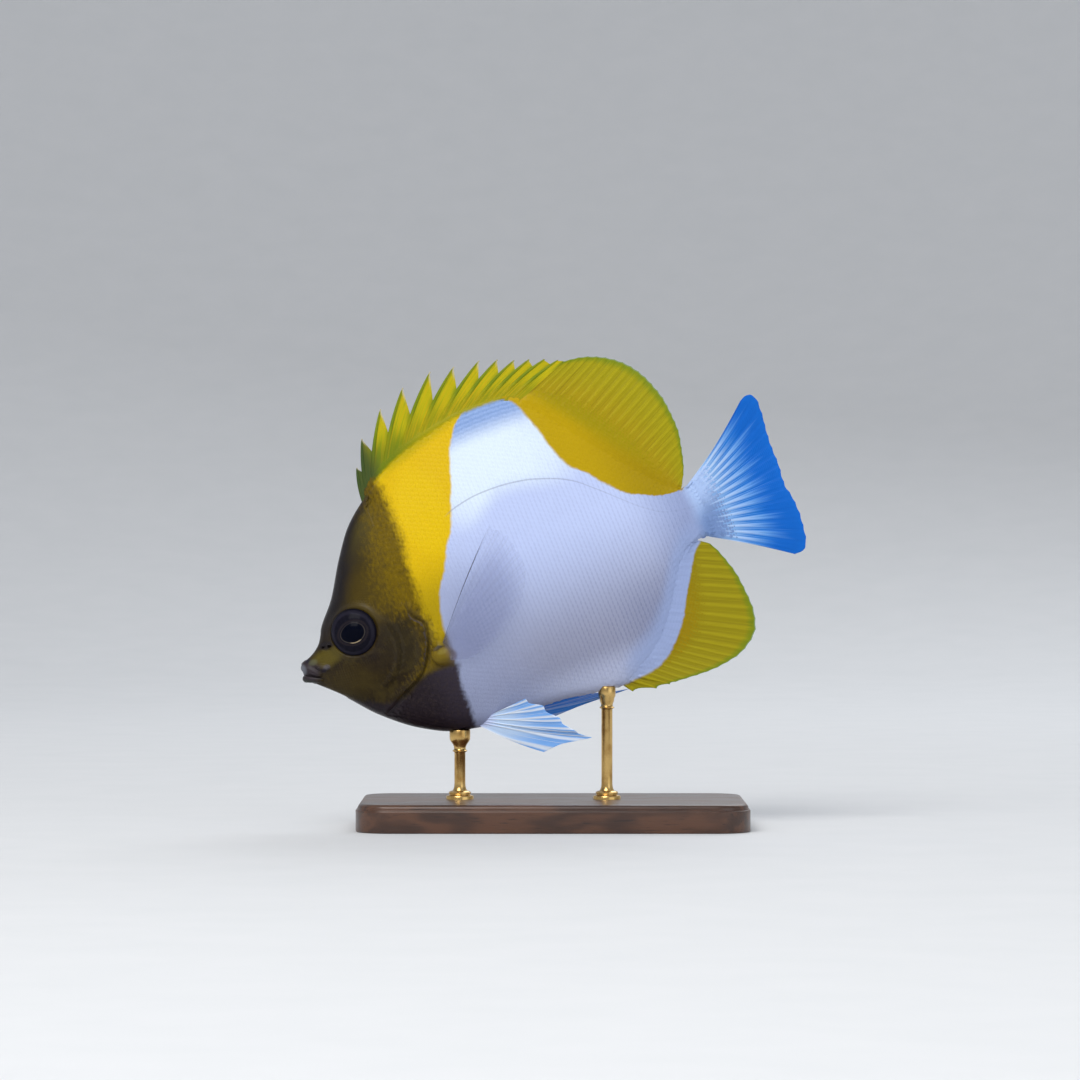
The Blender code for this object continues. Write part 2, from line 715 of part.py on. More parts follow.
def make_pectoral(name, side):
    """A fan of rays from the lobe, held out from the flank more towards its tips."""
    (x0, z0), (x1, z1) = PECTORAL_ROOT
    tips = margin_curve([(x, 0.0, z) for x, z in PECTORAL_TIPS])
    face = Vector((0.0, 1.0, 0.0))

    def out(place, share):
        distance = place.x - (x0 + (x1 - x0) * share)
        near, far = PECTORAL_SPREAD
        place.y = side * (PECTORAL_OUT + near * distance + far * distance ** 2)
        return place

    def root(share):
        return out(Vector((x0 + (x1 - x0) * share, 0.0, z0 + (z1 - z0) * share)), share)

    def tip(share, is_ray):
        edge = tips(share)
        if not is_ray:
            inward = root(share) * Vector((1.0, 0.0, 1.0)) - edge
            edge += inward.normalized() * PECTORAL_NOTCH
        return out(edge, share)

    return rayed_fin(name, PECTORAL_RAYS, root, tip, "pectoral_fin", face=face)


def under_belly(x, y):
    """The underside of the body at a place seen from below."""
    low, high = belly(x), widest(x)
    for _ in range(30):
        middle = (low + high) / 2.0
        if flank(x, middle) > abs(y):
            high = middle
        else:
            low = middle
    return high


def make_pelvic(name, side, tips):
    """A leading spine and five soft rays from a short root under the belly."""
    ends = [Vector((x, side * y, z)) for x, y, z in tips]
    (x0, y0), (x1, y1) = PELVIC_ROOT
    count = len(ends) - 1
    starts = [Vector((x, side * y, under_belly(x, y) - 2.0 * GAP)) for x, y in PELVIC_ROOT]
    face = (ends[0] - starts[0]).cross(ends[-1] - starts[1]).normalized()

    def root(share):
        x = x0 + (x1 - x0) * share
        y = y0 + (y1 - y0) * share
        return Vector((x, side * y, under_belly(x, y) - 2.0 * GAP))

    def tip(share, is_ray):
        place = share * count
        if is_ray:
            return ends[round(place)]
        between = (ends[int(place)] + ends[int(place) + 1]) / 2.0
        return between + (root(share) - between).normalized() * PELVIC_NOTCH

    def bow(share):
        return Vector((0.0, 0.0, -PELVIC_BOW * (1.0 - share)))

    def half(share, height, thick):
        return max(thick * PELVIC_SLIM, WEB_HALF)

    return rayed_fin(name, count + 1, root, tip, "pelvic_fin", half, bow, face=face)


def make_base():
    """A flat slab with rounded corners and an eased top edge."""
    bm = bmesh.new()
    bmesh.ops.create_cube(bm, size=1.0)
    lift = Matrix.Translation(Vector((0.0, 0.0, BASE.z / 2.0)))
    bm.transform(Matrix.Scale(MM, 4) @ lift @ Matrix.Diagonal((*BASE, 1.0)))
    upright = []
    for edge in bm.edges:
        low, high = sorted(vert.co.z for vert in edge.verts)
        if high - low > BASE.z / 2.0 * MM:
            upright.append(edge)
    corner = BASE_CORNER * MM
    bmesh.ops.bevel(bm, geom=upright, offset=corner, segments=5, affect="EDGES", profile=0.5)
    top = [edge for edge in bm.edges if min(v.co.z for v in edge.verts) > (BASE.z - 0.01) * MM]
    rounding = BASE_EDGE * MM
    bmesh.ops.bevel(bm, geom=top, offset=rounding, segments=2, affect="EDGES", profile=0.5)
    return round_off(from_bmesh("stand_base", bm, "stand_base"), 30.0)


def keel_over(x, pose):
    """The height of the belly's line over a place along the base."""
    low, high = KEEL_SPAN
    for _ in range(30):
        middle = (low + high) / 2.0
        place = pose @ (Vector((middle, 0.0, belly(middle))) * MM) / MM
        if place.x < x:
            low = middle
        else:
            high = middle
    return place.z


def make_rod(name, from_snout, head_radius, pose):
    """A turned rod with a foot, and a head that is cut to the belly it carries."""
    foot = BASE.z + GAP
    x = SNOUT_X + from_snout
    top = keel_over(x, pose) + ROD_GRIP
    neck = top - ROD_HEAD_HEIGHT
    profile = (
        (ROD_FOOT_RADIUS, foot), (ROD_FOOT_RADIUS, foot + ROD_FOOT_EDGE),
        (ROD_NECK_RADIUS, foot + ROD_FOOT_HEIGHT), (ROD_RADIUS, foot + ROD_SHAFT_START),
        (ROD_RADIUS, neck), (head_radius, neck + ROD_CUP_FLARE), (head_radius, top),
    )
    bm = bmesh.new()
    rings = []
    for radius, height in profile:
        ring = []
        for k in range(ROD_SIDES):
            angle = 2.0 * math.pi * k / ROD_SIDES
            place = Vector((x + radius * math.cos(angle), radius * math.sin(angle), height))
            ring.append(bm.verts.new(place * MM))
        rings.append(ring)
    for low, high in zip(rings, rings[1:]):
        for k in range(ROD_SIDES):
            after = (k + 1) % ROD_SIDES
            bm.faces.new((low[k], low[after], high[after], high[k]))
    bm.faces.new(rings[0])
    bm.faces.new(rings[-1])
    rod = from_bmesh(name, bm, "stand_rod")
    start, end = HOLLOW_SPAN
    fish = body_piece(
        "hollow", lambda share: start, lambda share: end, 2 * TORSO_COLUMNS, clear=GAP
    )
    fish.data.transform(pose)
    combine(rod, [fish], "DIFFERENCE")
    return round_off(rod, 35.0)


def main():
    """Makes the fish, tilts it to its pose, and makes the stand under it."""
    for obj in list(bpy.data.objects):
        bpy.data.objects.remove(obj)
    pose = Matrix.Translation(Vector((SNOUT_X, 0.0, SNOUT_Z)) * MM) @ Matrix.Rotation(-PITCH, 4, "Y")
    fish = [
        make_head(), make_torso(), make_tail_stem(), make_spiny_dorsal(), make_soft_dorsal(),
        make_anal(), make_caudal(),
    ]
    for word, side in (("left", -1.0), ("right", 1.0)):
        fish.append(make_pectoral("pectoral_fin_" + word, side))
        fish.append(make_pelvic("pelvic_fin_" + word, side, PELVIC_TIPS[word]))
        fish.append(round_off(eye_ball("eye_" + word, side), 60.0))
    carrier = bpy.data.objects.new("fish_pose", None)
    bpy.context.scene.collection.objects.link(carrier)
    carrier.matrix_world = pose
    for obj in fish:
        obj.parent = carrier
    make_base()
    for word, (from_snout, head_radius) in RODS.items():
        make_rod("stand_rod_" + word, from_snout, head_radius, pose)


main()
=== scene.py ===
"""The looks of a life-size pyramid butterflyfish on its display stand."""

import math

import bmesh
import bpy
import numpy as np
from mathutils import Matrix, Vector


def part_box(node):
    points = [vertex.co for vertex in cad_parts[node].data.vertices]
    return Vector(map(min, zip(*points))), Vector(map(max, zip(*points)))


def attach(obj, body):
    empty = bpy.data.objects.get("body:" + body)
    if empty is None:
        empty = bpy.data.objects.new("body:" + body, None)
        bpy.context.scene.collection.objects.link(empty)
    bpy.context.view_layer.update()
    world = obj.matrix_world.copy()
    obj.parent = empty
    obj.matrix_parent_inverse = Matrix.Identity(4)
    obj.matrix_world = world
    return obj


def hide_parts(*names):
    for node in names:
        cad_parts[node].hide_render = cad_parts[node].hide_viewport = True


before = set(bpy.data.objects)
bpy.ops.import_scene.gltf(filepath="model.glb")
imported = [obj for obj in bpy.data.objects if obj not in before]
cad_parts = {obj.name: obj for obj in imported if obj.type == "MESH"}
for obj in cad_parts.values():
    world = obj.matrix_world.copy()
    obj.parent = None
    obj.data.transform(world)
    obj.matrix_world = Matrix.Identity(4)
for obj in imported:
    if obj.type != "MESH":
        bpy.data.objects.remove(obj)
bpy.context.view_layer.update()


# The photograph's view: the fish's left side, level and from a long way off, with
# the fish's middle a little above the middle of the picture.
MM = 0.001
VIEW_CENTRE = Vector((-3.7, 0.0, 82.7)) * MM
VIEW_DISTANCE = 1.3
VIEW_WIDTH = 311.5 * MM
SENSOR = 36.0

camera = bpy.data.objects.new("camera", bpy.data.cameras.new("camera"))
camera.data.sensor_width = SENSOR
camera.data.lens = SENSOR * VIEW_DISTANCE / VIEW_WIDTH
camera.data.clip_start = 0.01
camera.location = VIEW_CENTRE - Vector((0.0, VIEW_DISTANCE, 0.0))
camera.rotation_euler = (math.radians(90.0), 0.0, 0.0)
bpy.context.scene.collection.objects.link(camera)
bpy.context.scene.camera = camera
bpy.context.scene.view_settings.view_transform = "Standard"


# The studio: a pale painted floor that rises all round in a wide curve, a sky of even
# light and three soft boxes, the strongest over the fish's back and before it.
FLOOR_MIDDLE = ((0.001, 0.0), (0.4, 0.0))
FLOOR_RADIUS = 1.0
FLOOR_CURVE = 1.8
FLOOR_STEPS = 16
FLOOR_TOP = 2.2
FLOOR_SIDES = 96
SKY = (0.94, 0.96, 1.0)
SKY_STRENGTH = 0.50
SOFT_BOXES = (
    ("key", (-0.45, -1.05, 1.15), 0.9, 15.0, (1.0, 0.99, 0.97)),
    ("fill", (0.95, -1.00, 0.25), 1.1, 3.0, (0.90, 0.95, 1.0)),
    ("back", (0.35, 1.05, 0.95), 0.8, 5.0, (0.94, 0.97, 1.0)),
)


def paint(red, green, blue):
    """A colour from its red, green and blue out of 255, as a paint chart gives them."""
    shares = [value / 255.0 for value in (red, green, blue)]
    light = [s / 12.92 if s <= 0.04045 else ((s + 0.055) / 1.055) ** 2.4 for s in shares]
    return (*light, 1.0)


class Tone:
    """A number that varies over a surface; sums on it add Math nodes."""

    def __init__(self, finish, socket):
        self.finish = finish
        self.socket = socket

    def __add__(self, other):
        return self.finish.maths("ADD", self, other)

    def __sub__(self, other):
        return self.finish.maths("SUBTRACT", self, other)

    def __rsub__(self, other):
        return self.finish.maths("SUBTRACT", other, self)

    def __mul__(self, other):
        return self.finish.maths("MULTIPLY", self, other)

    def __truediv__(self, other):
        return self.finish.maths("DIVIDE", self, other)

    def __pow__(self, other):
        return self.finish.maths("POWER", self, other)

    __radd__ = __add__
    __rmul__ = __mul__


class Finish:
    """A material made node by node, whose sockets take numbers, colours or tones."""

    def __init__(self, name, constants):
        self.material = bpy.data.materials.new(name)
        self.material.use_nodes = True
        self.tree = self.material.node_tree
        self.shader = self.tree.nodes["Principled BSDF"]
        for socket, value in constants.items():
            self.shader.inputs[socket].default_value = value

    def node(self, kind, settings, sockets, output=0):
        made = self.tree.nodes.new("ShaderNode" + kind)
        for name, value in settings.items():
            setattr(made, name, value)
        for name, value in sockets.items():
            self.join(value, made.inputs[name])
        return Tone(self, made.outputs[output])

    def join(self, value, socket):
        if isinstance(value, Tone):
            self.tree.links.new(value.socket, socket)
        else:
            socket.default_value = value

    def maths(self, operation, first, second=0.0):
        return self.node("Math", {"operation": operation}, {0: first, 1: second})

    def mix(self, under, over, share, blend="MIX"):
        """One colour laid over another where share is near 1."""
        settings = {"data_type": "RGBA", "blend_type": blend}
        return self.node("Mix", settings, {0: share, 6: under, 7: over}, 2)

    def coats(self, colour, *layers):
        """Paints laid over a colour in turn: red, green, blue and where each shows."""
        for red, green, blue, share in layers:
            colour = self.mix(colour, paint(red, green, blue), share)
        return colour

    def step(self, value, start, end):
        """A soft step from 0 at start to 1 at end."""
        sockets = {"Value": value, "From Min": start, "From Max": end}
        return self.node("MapRange", {"interpolation_type": "SMOOTHSTEP"}, sockets)

    def noise(self, vector, scale, detail=2.0):
        return self.node("TexNoise", {}, {"Vector": vector, "Scale": scale, "Detail": detail})

    def grain(self, stretch, scale, detail):
        """Noise drawn out along the axes of the piece."""
        vector = self.node("Mapping", {}, {"Vector": self.here(), "Scale": stretch})
        return self.noise(vector, scale, detail)

    def here(self):
        """The place on the piece, in metres."""
        return self.node("TexCoord", {}, {}, "Object")

    def trait(self, name):
        """A value that the mesh itself carries."""
        return self.node("Attribute", {"attribute_name": name}, {}, "Vector")

    def split(self, vector):
        parts = self.node("SeparateXYZ", {}, {"Vector": vector})
        return [Tone(self, parts.socket.node.outputs[axis]) for axis in "XYZ"]

    def bump(self, height, depth, strength=1.0):
        """Relief of a depth in metres, from a height of 0 to 1."""
        sockets = {"Height": height, "Distance": depth, "Strength": strength}
        return self.node("Bump", {}, sockets)

    def use(self, **tones):
        """Joins tones to the shader's sockets, named with low lines for spaces."""
        for name, tone in tones.items():
            self.join(tone, self.shader.inputs[name.replace("_", " ").title()])
        return self.material


def piece_of(name, points, faces, material=None, smooth=True):
    """An object from points in metres and faces."""
    mesh = bpy.data.meshes.new(name)
    mesh.from_pydata([tuple(point) for point in points], [], [tuple(face) for face in faces])
    mesh.update()
    obj = bpy.data.objects.new(name, mesh)
    bpy.context.scene.collection.objects.link(obj)
    if smooth:
        mesh.shade_smooth()
    if material:
        mesh.materials.append(material)
    return obj


def ringed(rings, sides, start=0, flipped=False):
    """Faces between rings of points that follow one another, numbered from start."""
    faces = []
    for ring in range(rings - 1):
        for k in range(sides):
            first, after = start + ring * sides + k, start + ring * sides + (k + 1) % sides
            face = (first, after, after + sides, first + sides)
            faces.append((first, *face[:0:-1]) if flipped else face)
    return faces


def lidded(rings, sides, start=0, flipped=False):
    """The same faces, with the first and the last ring closed."""
    lids = [tuple(reversed(range(start, start + sides)))]
    lids.append(tuple(range(start + (rings - 1) * sides, start + rings * sides)))
    if flipped:
        lids = [lid[::-1] for lid in lids]
    return ringed(rings, sides, start, flipped) + lids


def turned(profile, sides, centre=(0.0, 0.0)):
    """Points and faces of a shape turned on a lathe, from (radius, height) pairs."""
    points = []
    for radius, height in profile:
        for k in range(sides):
            angle = 2.0 * math.pi * k / sides
            x = centre[0] + radius * math.cos(angle)
            points.append((x, centre[1] + radius * math.sin(angle), height))
    return points, ringed(len(profile), sides)


sky = bpy.data.worlds.new("sky")
sky.use_nodes = True
sky.node_tree.nodes["Background"].inputs["Color"].default_value = (*SKY, 1.0)
sky.node_tree.nodes["Background"].inputs["Strength"].default_value = SKY_STRENGTH
bpy.context.scene.world = sky

for name, place, size, power, colour in SOFT_BOXES:
    light = bpy.data.lights.new(name, "AREA")
    light.size = size
    light.energy = power
    light.color = colour
    box = bpy.data.objects.new(name, light)
    box.location = place
    box.rotation_euler = (VIEW_CENTRE - Vector(place)).to_track_quat("-Z", "Y").to_euler()
    bpy.context.scene.collection.objects.link(box)

bowl = list(FLOOR_MIDDLE)
for k in range(FLOOR_STEPS + 1):
    angle = math.radians(90.0) * k / FLOOR_STEPS
    away, rise = math.sin(angle), 1.0 - math.cos(angle)
    bowl.append((FLOOR_RADIUS + FLOOR_CURVE * away, FLOOR_CURVE * rise))
bowl.append((FLOOR_RADIUS + FLOOR_CURVE, FLOOR_TOP))
matt = Finish("studio_floor", {"Roughness": 0.85})
speckle = matt.noise(matt.here(), 40.0)
shade = matt.mix(paint(224, 226, 228), paint(230, 231, 233), speckle)
floor = piece_of("studio_floor", *turned(bowl, FLOOR_SIDES), matt.use(base_color=shade))


# The display base: a slab of dark stained walnut with rounded corners, its top edge
# moulded in a small step and its faces rubbed down and lacquered to a satin gloss.
BASE_SIZE = (112.0, 64.0, 8.0)
BASE_CORNER = 10.0
BASE_STEP = 0.5
BASE_ROUND = 1.2
BASE_FOOT = ((0.5, 0.0), (0.15, 0.15), (0.0, 0.5))
BASE_LIP = ((0.0, 2.2), (0.0, 1.9), (0.15, 1.75), (BASE_STEP, 1.7), (BASE_STEP + 0.05, 1.6))
TOP_INSETS = (2.6, 6.0)
CORNER_STEPS = 14
ROUND_STEPS = 6


def rounded_ring(inset, height):
    """A rounded rectangle, drawn in from the base's outline."""
    ring = []
    half_x, half_y = BASE_SIZE[0] / 2.0 - BASE_CORNER, BASE_SIZE[1] / 2.0 - BASE_CORNER
    for quarter, (x, y) in enumerate(((1, 1), (-1, 1), (-1, -1), (1, -1))):
        for k in range(CORNER_STEPS + 1):
            angle = math.radians(90.0) * (quarter + k / CORNER_STEPS)
            radius = BASE_CORNER - inset
            ring.append((
                (x * half_x + radius * math.cos(angle)) * MM,
                (y * half_y + radius * math.sin(angle)) * MM,
                height * MM,
            ))
    return ring


top = BASE_SIZE[2]
levels = list(BASE_FOOT) + [(inset, top - depth) for inset, depth in BASE_LIP]
for k in range(ROUND_STEPS + 1):
    angle = math.radians(90.0) * k / ROUND_STEPS
    levels.append((
        BASE_STEP + 0.1 + BASE_ROUND * (1.0 - math.cos(angle)),
        top - BASE_ROUND + BASE_ROUND * math.sin(angle),
    ))
levels += [(inset, top) for inset in TOP_INSETS]
points = [point for inset, height in levels for point in rounded_ring(inset, height)]
faces = lidded(len(levels), 4 * (CORNER_STEPS + 1))

wood = Finish("stained_walnut", {"Coat Weight": 0.35, "Coat Roughness": 0.22, "Coat IOR": 1.5})
figure = wood.grain((9.0, 120.0, 60.0), 2.2, 6.0)
warp = wood.grain((14.0, 40.0, 40.0), 1.6, 3.0)
pores = wood.grain((160.0, 2600.0, 1800.0), 1.0, 2.0)
bands = wood.maths("SINE", (figure + warp * 1.8) * 16.0) * 0.5 + 0.5
shade = wood.coats(
    paint(52, 30, 19),
    (96, 60, 38, bands * 0.65 + figure * 0.3),
    (24, 13, 9, wood.step(pores, 0.60, 0.72) * 0.7),
)
normal = wood.bump(pores * -1.0 + bands * 0.15, 0.00008, 0.5)
wood_material = wood.use(base_color=shade, roughness=0.34 + bands * 0.08, normal=normal)
base = piece_of("display_base", points, faces, wood_material)
base.data.set_sharp_from_angle(angle=math.radians(50.0))
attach(base, "root")
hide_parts("stand_base")


# The two rods: turned brass with a moulded foot screwed down on the base and a cup
# that holds the keel of the fish, polished, a little darker in soft clouds.
RODS = (("front", 45.6, 3.0), ("rear", 88.0, 2.5))
ROD_SIDES = 56
ROD_FOOT = (
    (0.02, -0.2), (4.0, -0.2), (4.0, 0.75), (3.85, 1.0), (3.4, 1.15), (3.1, 1.25), (3.05, 1.45),
    (3.25, 1.7), (3.2, 2.05), (2.8, 2.3), (2.15, 2.45), (1.85, 2.9), (1.68, 3.6), (1.6, 4.4),
)
ROD_NECK = (
    (1.6, -1.7), (1.75, -1.5), (2.1, -1.35), (2.15, -1.1), (1.8, -0.9), (1.68, -0.6), (1.75, 0.0),
    (2.05, 0.7),
)
CUP_SIDE = ((-0.35, 1.5), (-0.05, 2.1), (0.0, 2.8))
CUP_RIM = ((0.0, -0.3), (-0.12, -0.08), (-0.3, 0.0), (-0.9, -0.02))
CUP_MIDDLE = (0.02, -0.3)
NECK_BELOW_RIM = 5.0
RIM_BELOW_TOP = 0.3
PITCH = math.radians(22.0)
SNOUT = Vector((-72.4, 0.0, 44.6))

brass = Finish("polished_brass", {"Metallic": 1.0})
cloud = brass.noise(brass.here(), 260.0, 3.0)
turning = brass.grain((30.0, 30.0, 9000.0), 1.0, 1.0)
shade = brass.mix(paint(214, 178, 112), paint(178, 138, 78), brass.step(cloud, 0.42, 0.75))
normal = brass.bump(turning, 0.00002, 0.4)
brass_material = brass.use(base_color=shade, roughness=0.17 + cloud * 0.14, normal=normal)
for word, from_snout, cup in RODS:
    foot = BASE_SIZE[2]
    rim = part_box("stand_rod_" + word)[1][2] / MM - RIM_BELOW_TOP
    neck = rim - NECK_BELOW_RIM
    profile = [(radius, foot + height) for radius, height in ROD_FOOT]
    profile += [(radius, neck + height) for radius, height in ROD_NECK]
    profile += [(cup + wider, neck + height) for wider, height in CUP_SIDE]
    profile += [(cup + wider, rim + height) for wider, height in CUP_RIM]
    profile.append((CUP_MIDDLE[0], rim + CUP_MIDDLE[1]))
    profile = [(radius * MM, height * MM) for radius, height in profile]
    middle = ((SNOUT.x + from_snout) * MM, 0.0)
    rod = piece_of("rod_" + word, *turned(profile, ROD_SIDES, middle), brass_material)
    rod.data.set_sharp_from_angle(angle=math.radians(40.0))
    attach(rod, "root")
    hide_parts("stand_rod_" + word)


# The skin: one moist hide over the head, body and root of the tail, with the orbits,
# cheek plates, free rims of the gill covers, lips, nostrils and the fleshy roots of
# the pectoral fins. It lies under the scales by their depth.
COAT = 0.25
BACK = (
    (1.2, 2.5), (3.9, 3.4), (7.3, 5.6), (10.2, 10.0), (15.5, 16.0), (21.8, 25.7),
    (28.1, 33.9), (34.2, 38.9), (44.0, 45.0), (56.0, 49.0), (72.0, 51.4), (83.0, 50.8),
    (89.5, 46.0), (95.0, 39.2), (104.0, 27.0), (112.0, 17.0), (118.0, 10.3),
    (121.5, 8.1), (124.6, 9.0),
)
BELLY = (
    (1.2, -3.6), (2.8, -5.1), (8.1, -10.3), (16.0, -19.5), (25.5, -27.4), (35.0, -32.2),
    (48.0, -34.6), (63.0, -35.1), (78.8, -37.5), (84.4, -37.9), (88.8, -35.6),
    (95.0, -32.5), (100.0, -28.8), (105.0, -23.0), (108.8, -17.5), (113.0, -11.6),
    (118.0, -7.9), (121.5, -7.2), (124.6, -8.2),
)
SNOUT_END = 1.2
STEM_END = 124.6
HALF_WIDTH = (
    (1.2, 2.3), (5.0, 3.7), (9.0, 5.1), (13.0, 6.7), (18.6, 8.5), (25.0, 9.8),
    (32.0, 10.7), (40.0, 11.3), (50.0, 11.1), (62.0, 10.3), (76.0, 8.8), (90.0, 6.7),
    (100.0, 5.2), (110.0, 3.9), (118.0, 3.0), (124.6, 2.3),
)
WIDEST = (
    (1.2, -0.6), (18.0, 4.0), (36.0, 3.0), (62.0, 4.5), (90.0, 5.0), (110.0, 2.0), (124.6, 0.4),
)
BACK_EDGE = ((1.2, 1.9), (8.0, 2.4), (26.0, 2.3), (40.0, 1.6), (90.0, 1.3), (124.6, 1.1))
BELLY_EDGE = ((1.2, 1.9), (12.0, 2.6), (34.0, 3.2), (56.0, 2.7), (80.0, 1.6), (124.6, 1.1))
BACK_HOLLOW = ((1.2, 0.70), (20.0, 0.80), (50.0, 1.10), (100.0, 1.05), (124.6, 0.60))
BELLY_HOLLOW = 0.80
BACK_SPREAD = 1.7
BELLY_SPREAD = 2.2
EDGE_FLAT = 0.5
BACK_FINS = (33.5, 122.0)
BELLY_FINS = (83.5, 119.5)
EDGE_ROUND = 1.3
GILL_RIM = (
    (17.0, -20.5), (20.5, -19.3), (25.0, -16.8), (30.2, -14.5), (33.4, -11.9),
    (36.0, -7.7), (37.6, -4.0), (38.1, -0.6), (35.8, 2.8), (35.0, 6.8), (35.2, 18.0),
    (34.8, 30.0), (34.2, 38.9),
)
GILL_LIFT = 0.9
GILL_FLARE = 6.0
GILL_ROLL = 0.35
GILL_TOP = 8.0
GILL_GROOVE = 0.42
EYE = Vector((18.7, 6.9, 5.0))
ORBIT_RADIUS = 7.4
ORBIT_LIFT = 0.5
ORBIT_WIDTH = 0.8
ORBIT_DEPTH = 1.6
CHEEK = (17.0, -1.0)
CHEEK_RADIUS = 12.0
CHEEK_LIFT = 0.35
CHEEK_WIDTH = 0.8
UPPER_LIP = (
    (1.52, 0.0, 0.68, 1.45), (1.85, 1.20, 0.45, 1.40), (2.75, 2.12, -0.55, 1.25),
    (3.95, 2.75, -1.85, 1.00), (5.30, 3.20, -2.95, 0.62),
)
LOWER_LIP = (
    (0.52, 0.0, -2.28, 1.14), (1.00, 1.10, -2.45, 1.12), (2.10, 2.00, -3.00, 1.05),
    (3.50, 2.65, -3.75, 0.88), (5.00, 3.10, -4.35, 0.58),
)
JAW_PLATE = ((6.3, 4.0, -0.9), (2.2, 0.8, 1.0), 28.0, 0.3)
NOSTRILS = ((8.6, 4.3, 0.55), (10.4, 3.9, 0.65))
NOSTRIL_BALL = {"turn": 0.3, "segments": 20, "rings": 10}
LOBE = ((41.0, 10.2, -10.6), (4.6, 1.4, 3.6), 22.0, -0.2)
LIP_SIDES = 20
LIP_RINGS = 41
MOUTH_ZONE = (1.6, 9.5)
MOUTH_ROUNDS = 9
LOBE_ZONE = (38.3, 6.5)
LOBE_ROUNDS = 24
HEAD_COLUMNS = 96
RIM_COLUMNS = (-0.12, 0.0, 0.04, 0.3, 0.7, 1.15)
RIM_END = 1.7
TORSO_COLUMNS = 150
SKIN_ROWS = 84
CAP_ROUND = 0.35
NOSE_ROUND = 0.95
NOSE_RINGS = (0.985, 0.94, 0.85, 0.72, 0.55, 0.36, 0.18)
SIDES = (("left", -1.0), ("right", 1.0))

POSE = Matrix.Translation(SNOUT * MM) @ Matrix.Rotation(-PITCH, 4, "Y") @ Matrix.Scale(MM, 4)


def smooth(points):
    """A fair curve through points of rising place that never overshoots them."""
    xs, ys = np.array(points, float).T
    rises = np.diff(ys) / np.diff(xs)
    same = rises[:-1] * rises[1:] > 0.0
    sums = np.where(same, rises[:-1] + rises[1:], 1.0)
    inner = np.where(same, 2.0 * rises[:-1] * rises[1:] / sums, 0.0)
    slopes = np.concatenate((rises[:1], inner, rises[-1:]))

    def value(x):
        x = np.clip(x, xs[0], xs[-1])
        i = np.clip(np.searchsorted(xs, x, side="right") - 1, 0, len(xs) - 2)
        width = xs[i + 1] - xs[i]
        t = (x - xs[i]) / width
        start = ys[i] + t * t * (3.0 - 2.0 * t) * (ys[i + 1] - ys[i])
        return start + width * t * (1.0 - t) * ((1.0 - t) * slopes[i] - t * slopes[i + 1])

    return value


def fair_line(points):
    """A fair line through points in space or in side view, for a share of its length."""
    points = [(x, 0.0, *rest) if len(rest) == 1 else (x, *rest) for x, *rest in points]
    points = np.array(points, float)
    steps = np.linalg.norm(np.diff(points[:, :3], axis=0), axis=1)
    shares = np.concatenate(([0.0], np.cumsum(steps))) / steps.sum()
    axes = [smooth(list(zip(shares, values))) for values in points.T]
    return lambda share: np.array([axis(share) for axis in axes]).T


back, belly, half_width, widest = smooth(BACK), smooth(BELLY), smooth(HALF_WIDTH), smooth(WIDEST)
back_edge, belly_edge, back_hollow = smooth(BACK_EDGE), smooth(BELLY_EDGE), smooth(BACK_HOLLOW)


def slope(line, x, step=0.2):
    """How steeply a line climbs at x."""
    return (line(x + step) - line(x - step)) / (2.0 * step)


def ease(t):
    """A soft step from 0 at 0 to 1 at 1."""
    t = np.clip(t, 0.0, 1.0)
    return t * t * (3.0 - 2.0 * t)


def bell(distance, width):
    """A soft hump, 1 at no distance."""
    return np.exp(-(distance / width) ** 2)


def flank(x, z):
    """Half the body's width at a place in side view."""
    middle = widest(x)
    upper = z >= middle
    line = np.where(upper, back(x), belly(x))
    edge = np.where(upper, back_edge(x), belly_edge(x))
    lean = np.where(upper, slope(back, x), slope(belly, x))
    spread = np.where(upper, BACK_SPREAD, BELLY_SPREAD)
    hollow = np.where(upper, back_hollow(x), BELLY_HOLLOW)
    reach = np.abs(line - middle)
    up = np.minimum(np.abs(z - middle) / reach, 1.0)
    swell = np.maximum(1.0 - up ** spread, 0.0) ** hollow
    depth = np.minimum((1.0 - up) * reach / (EDGE_ROUND * edge * np.hypot(1.0, lean)), 1.0)
    start, end = (np.where(upper, *ends) for ends in zip(BACK_FINS, BELLY_FINS))
    flat = EDGE_FLAT + (1.0 - EDGE_FLAT) * ease((x - start) / 5.0) * ease((end - x) / 4.0)
    rim = flat + (1.0 - flat) * np.sqrt(1.0 - (1.0 - depth) ** 2)
    return (half_width(x) - edge) * swell + edge * rim


def share_at(x, z):
    """How far up the body a place lies, from 0 on the belly to 1 on the back."""
    return (z - belly(x)) / (back(x) - belly(x))


gill_rim = smooth([(share_at(x, z), x) for x, z in GILL_RIM])


def free_rim(x, z):
    """How free of the body the gill cover's rim is, from its top to the throat."""
    return ease((GILL_TOP - z) / 5.0) * ease((z - belly(x)) / 4.0)


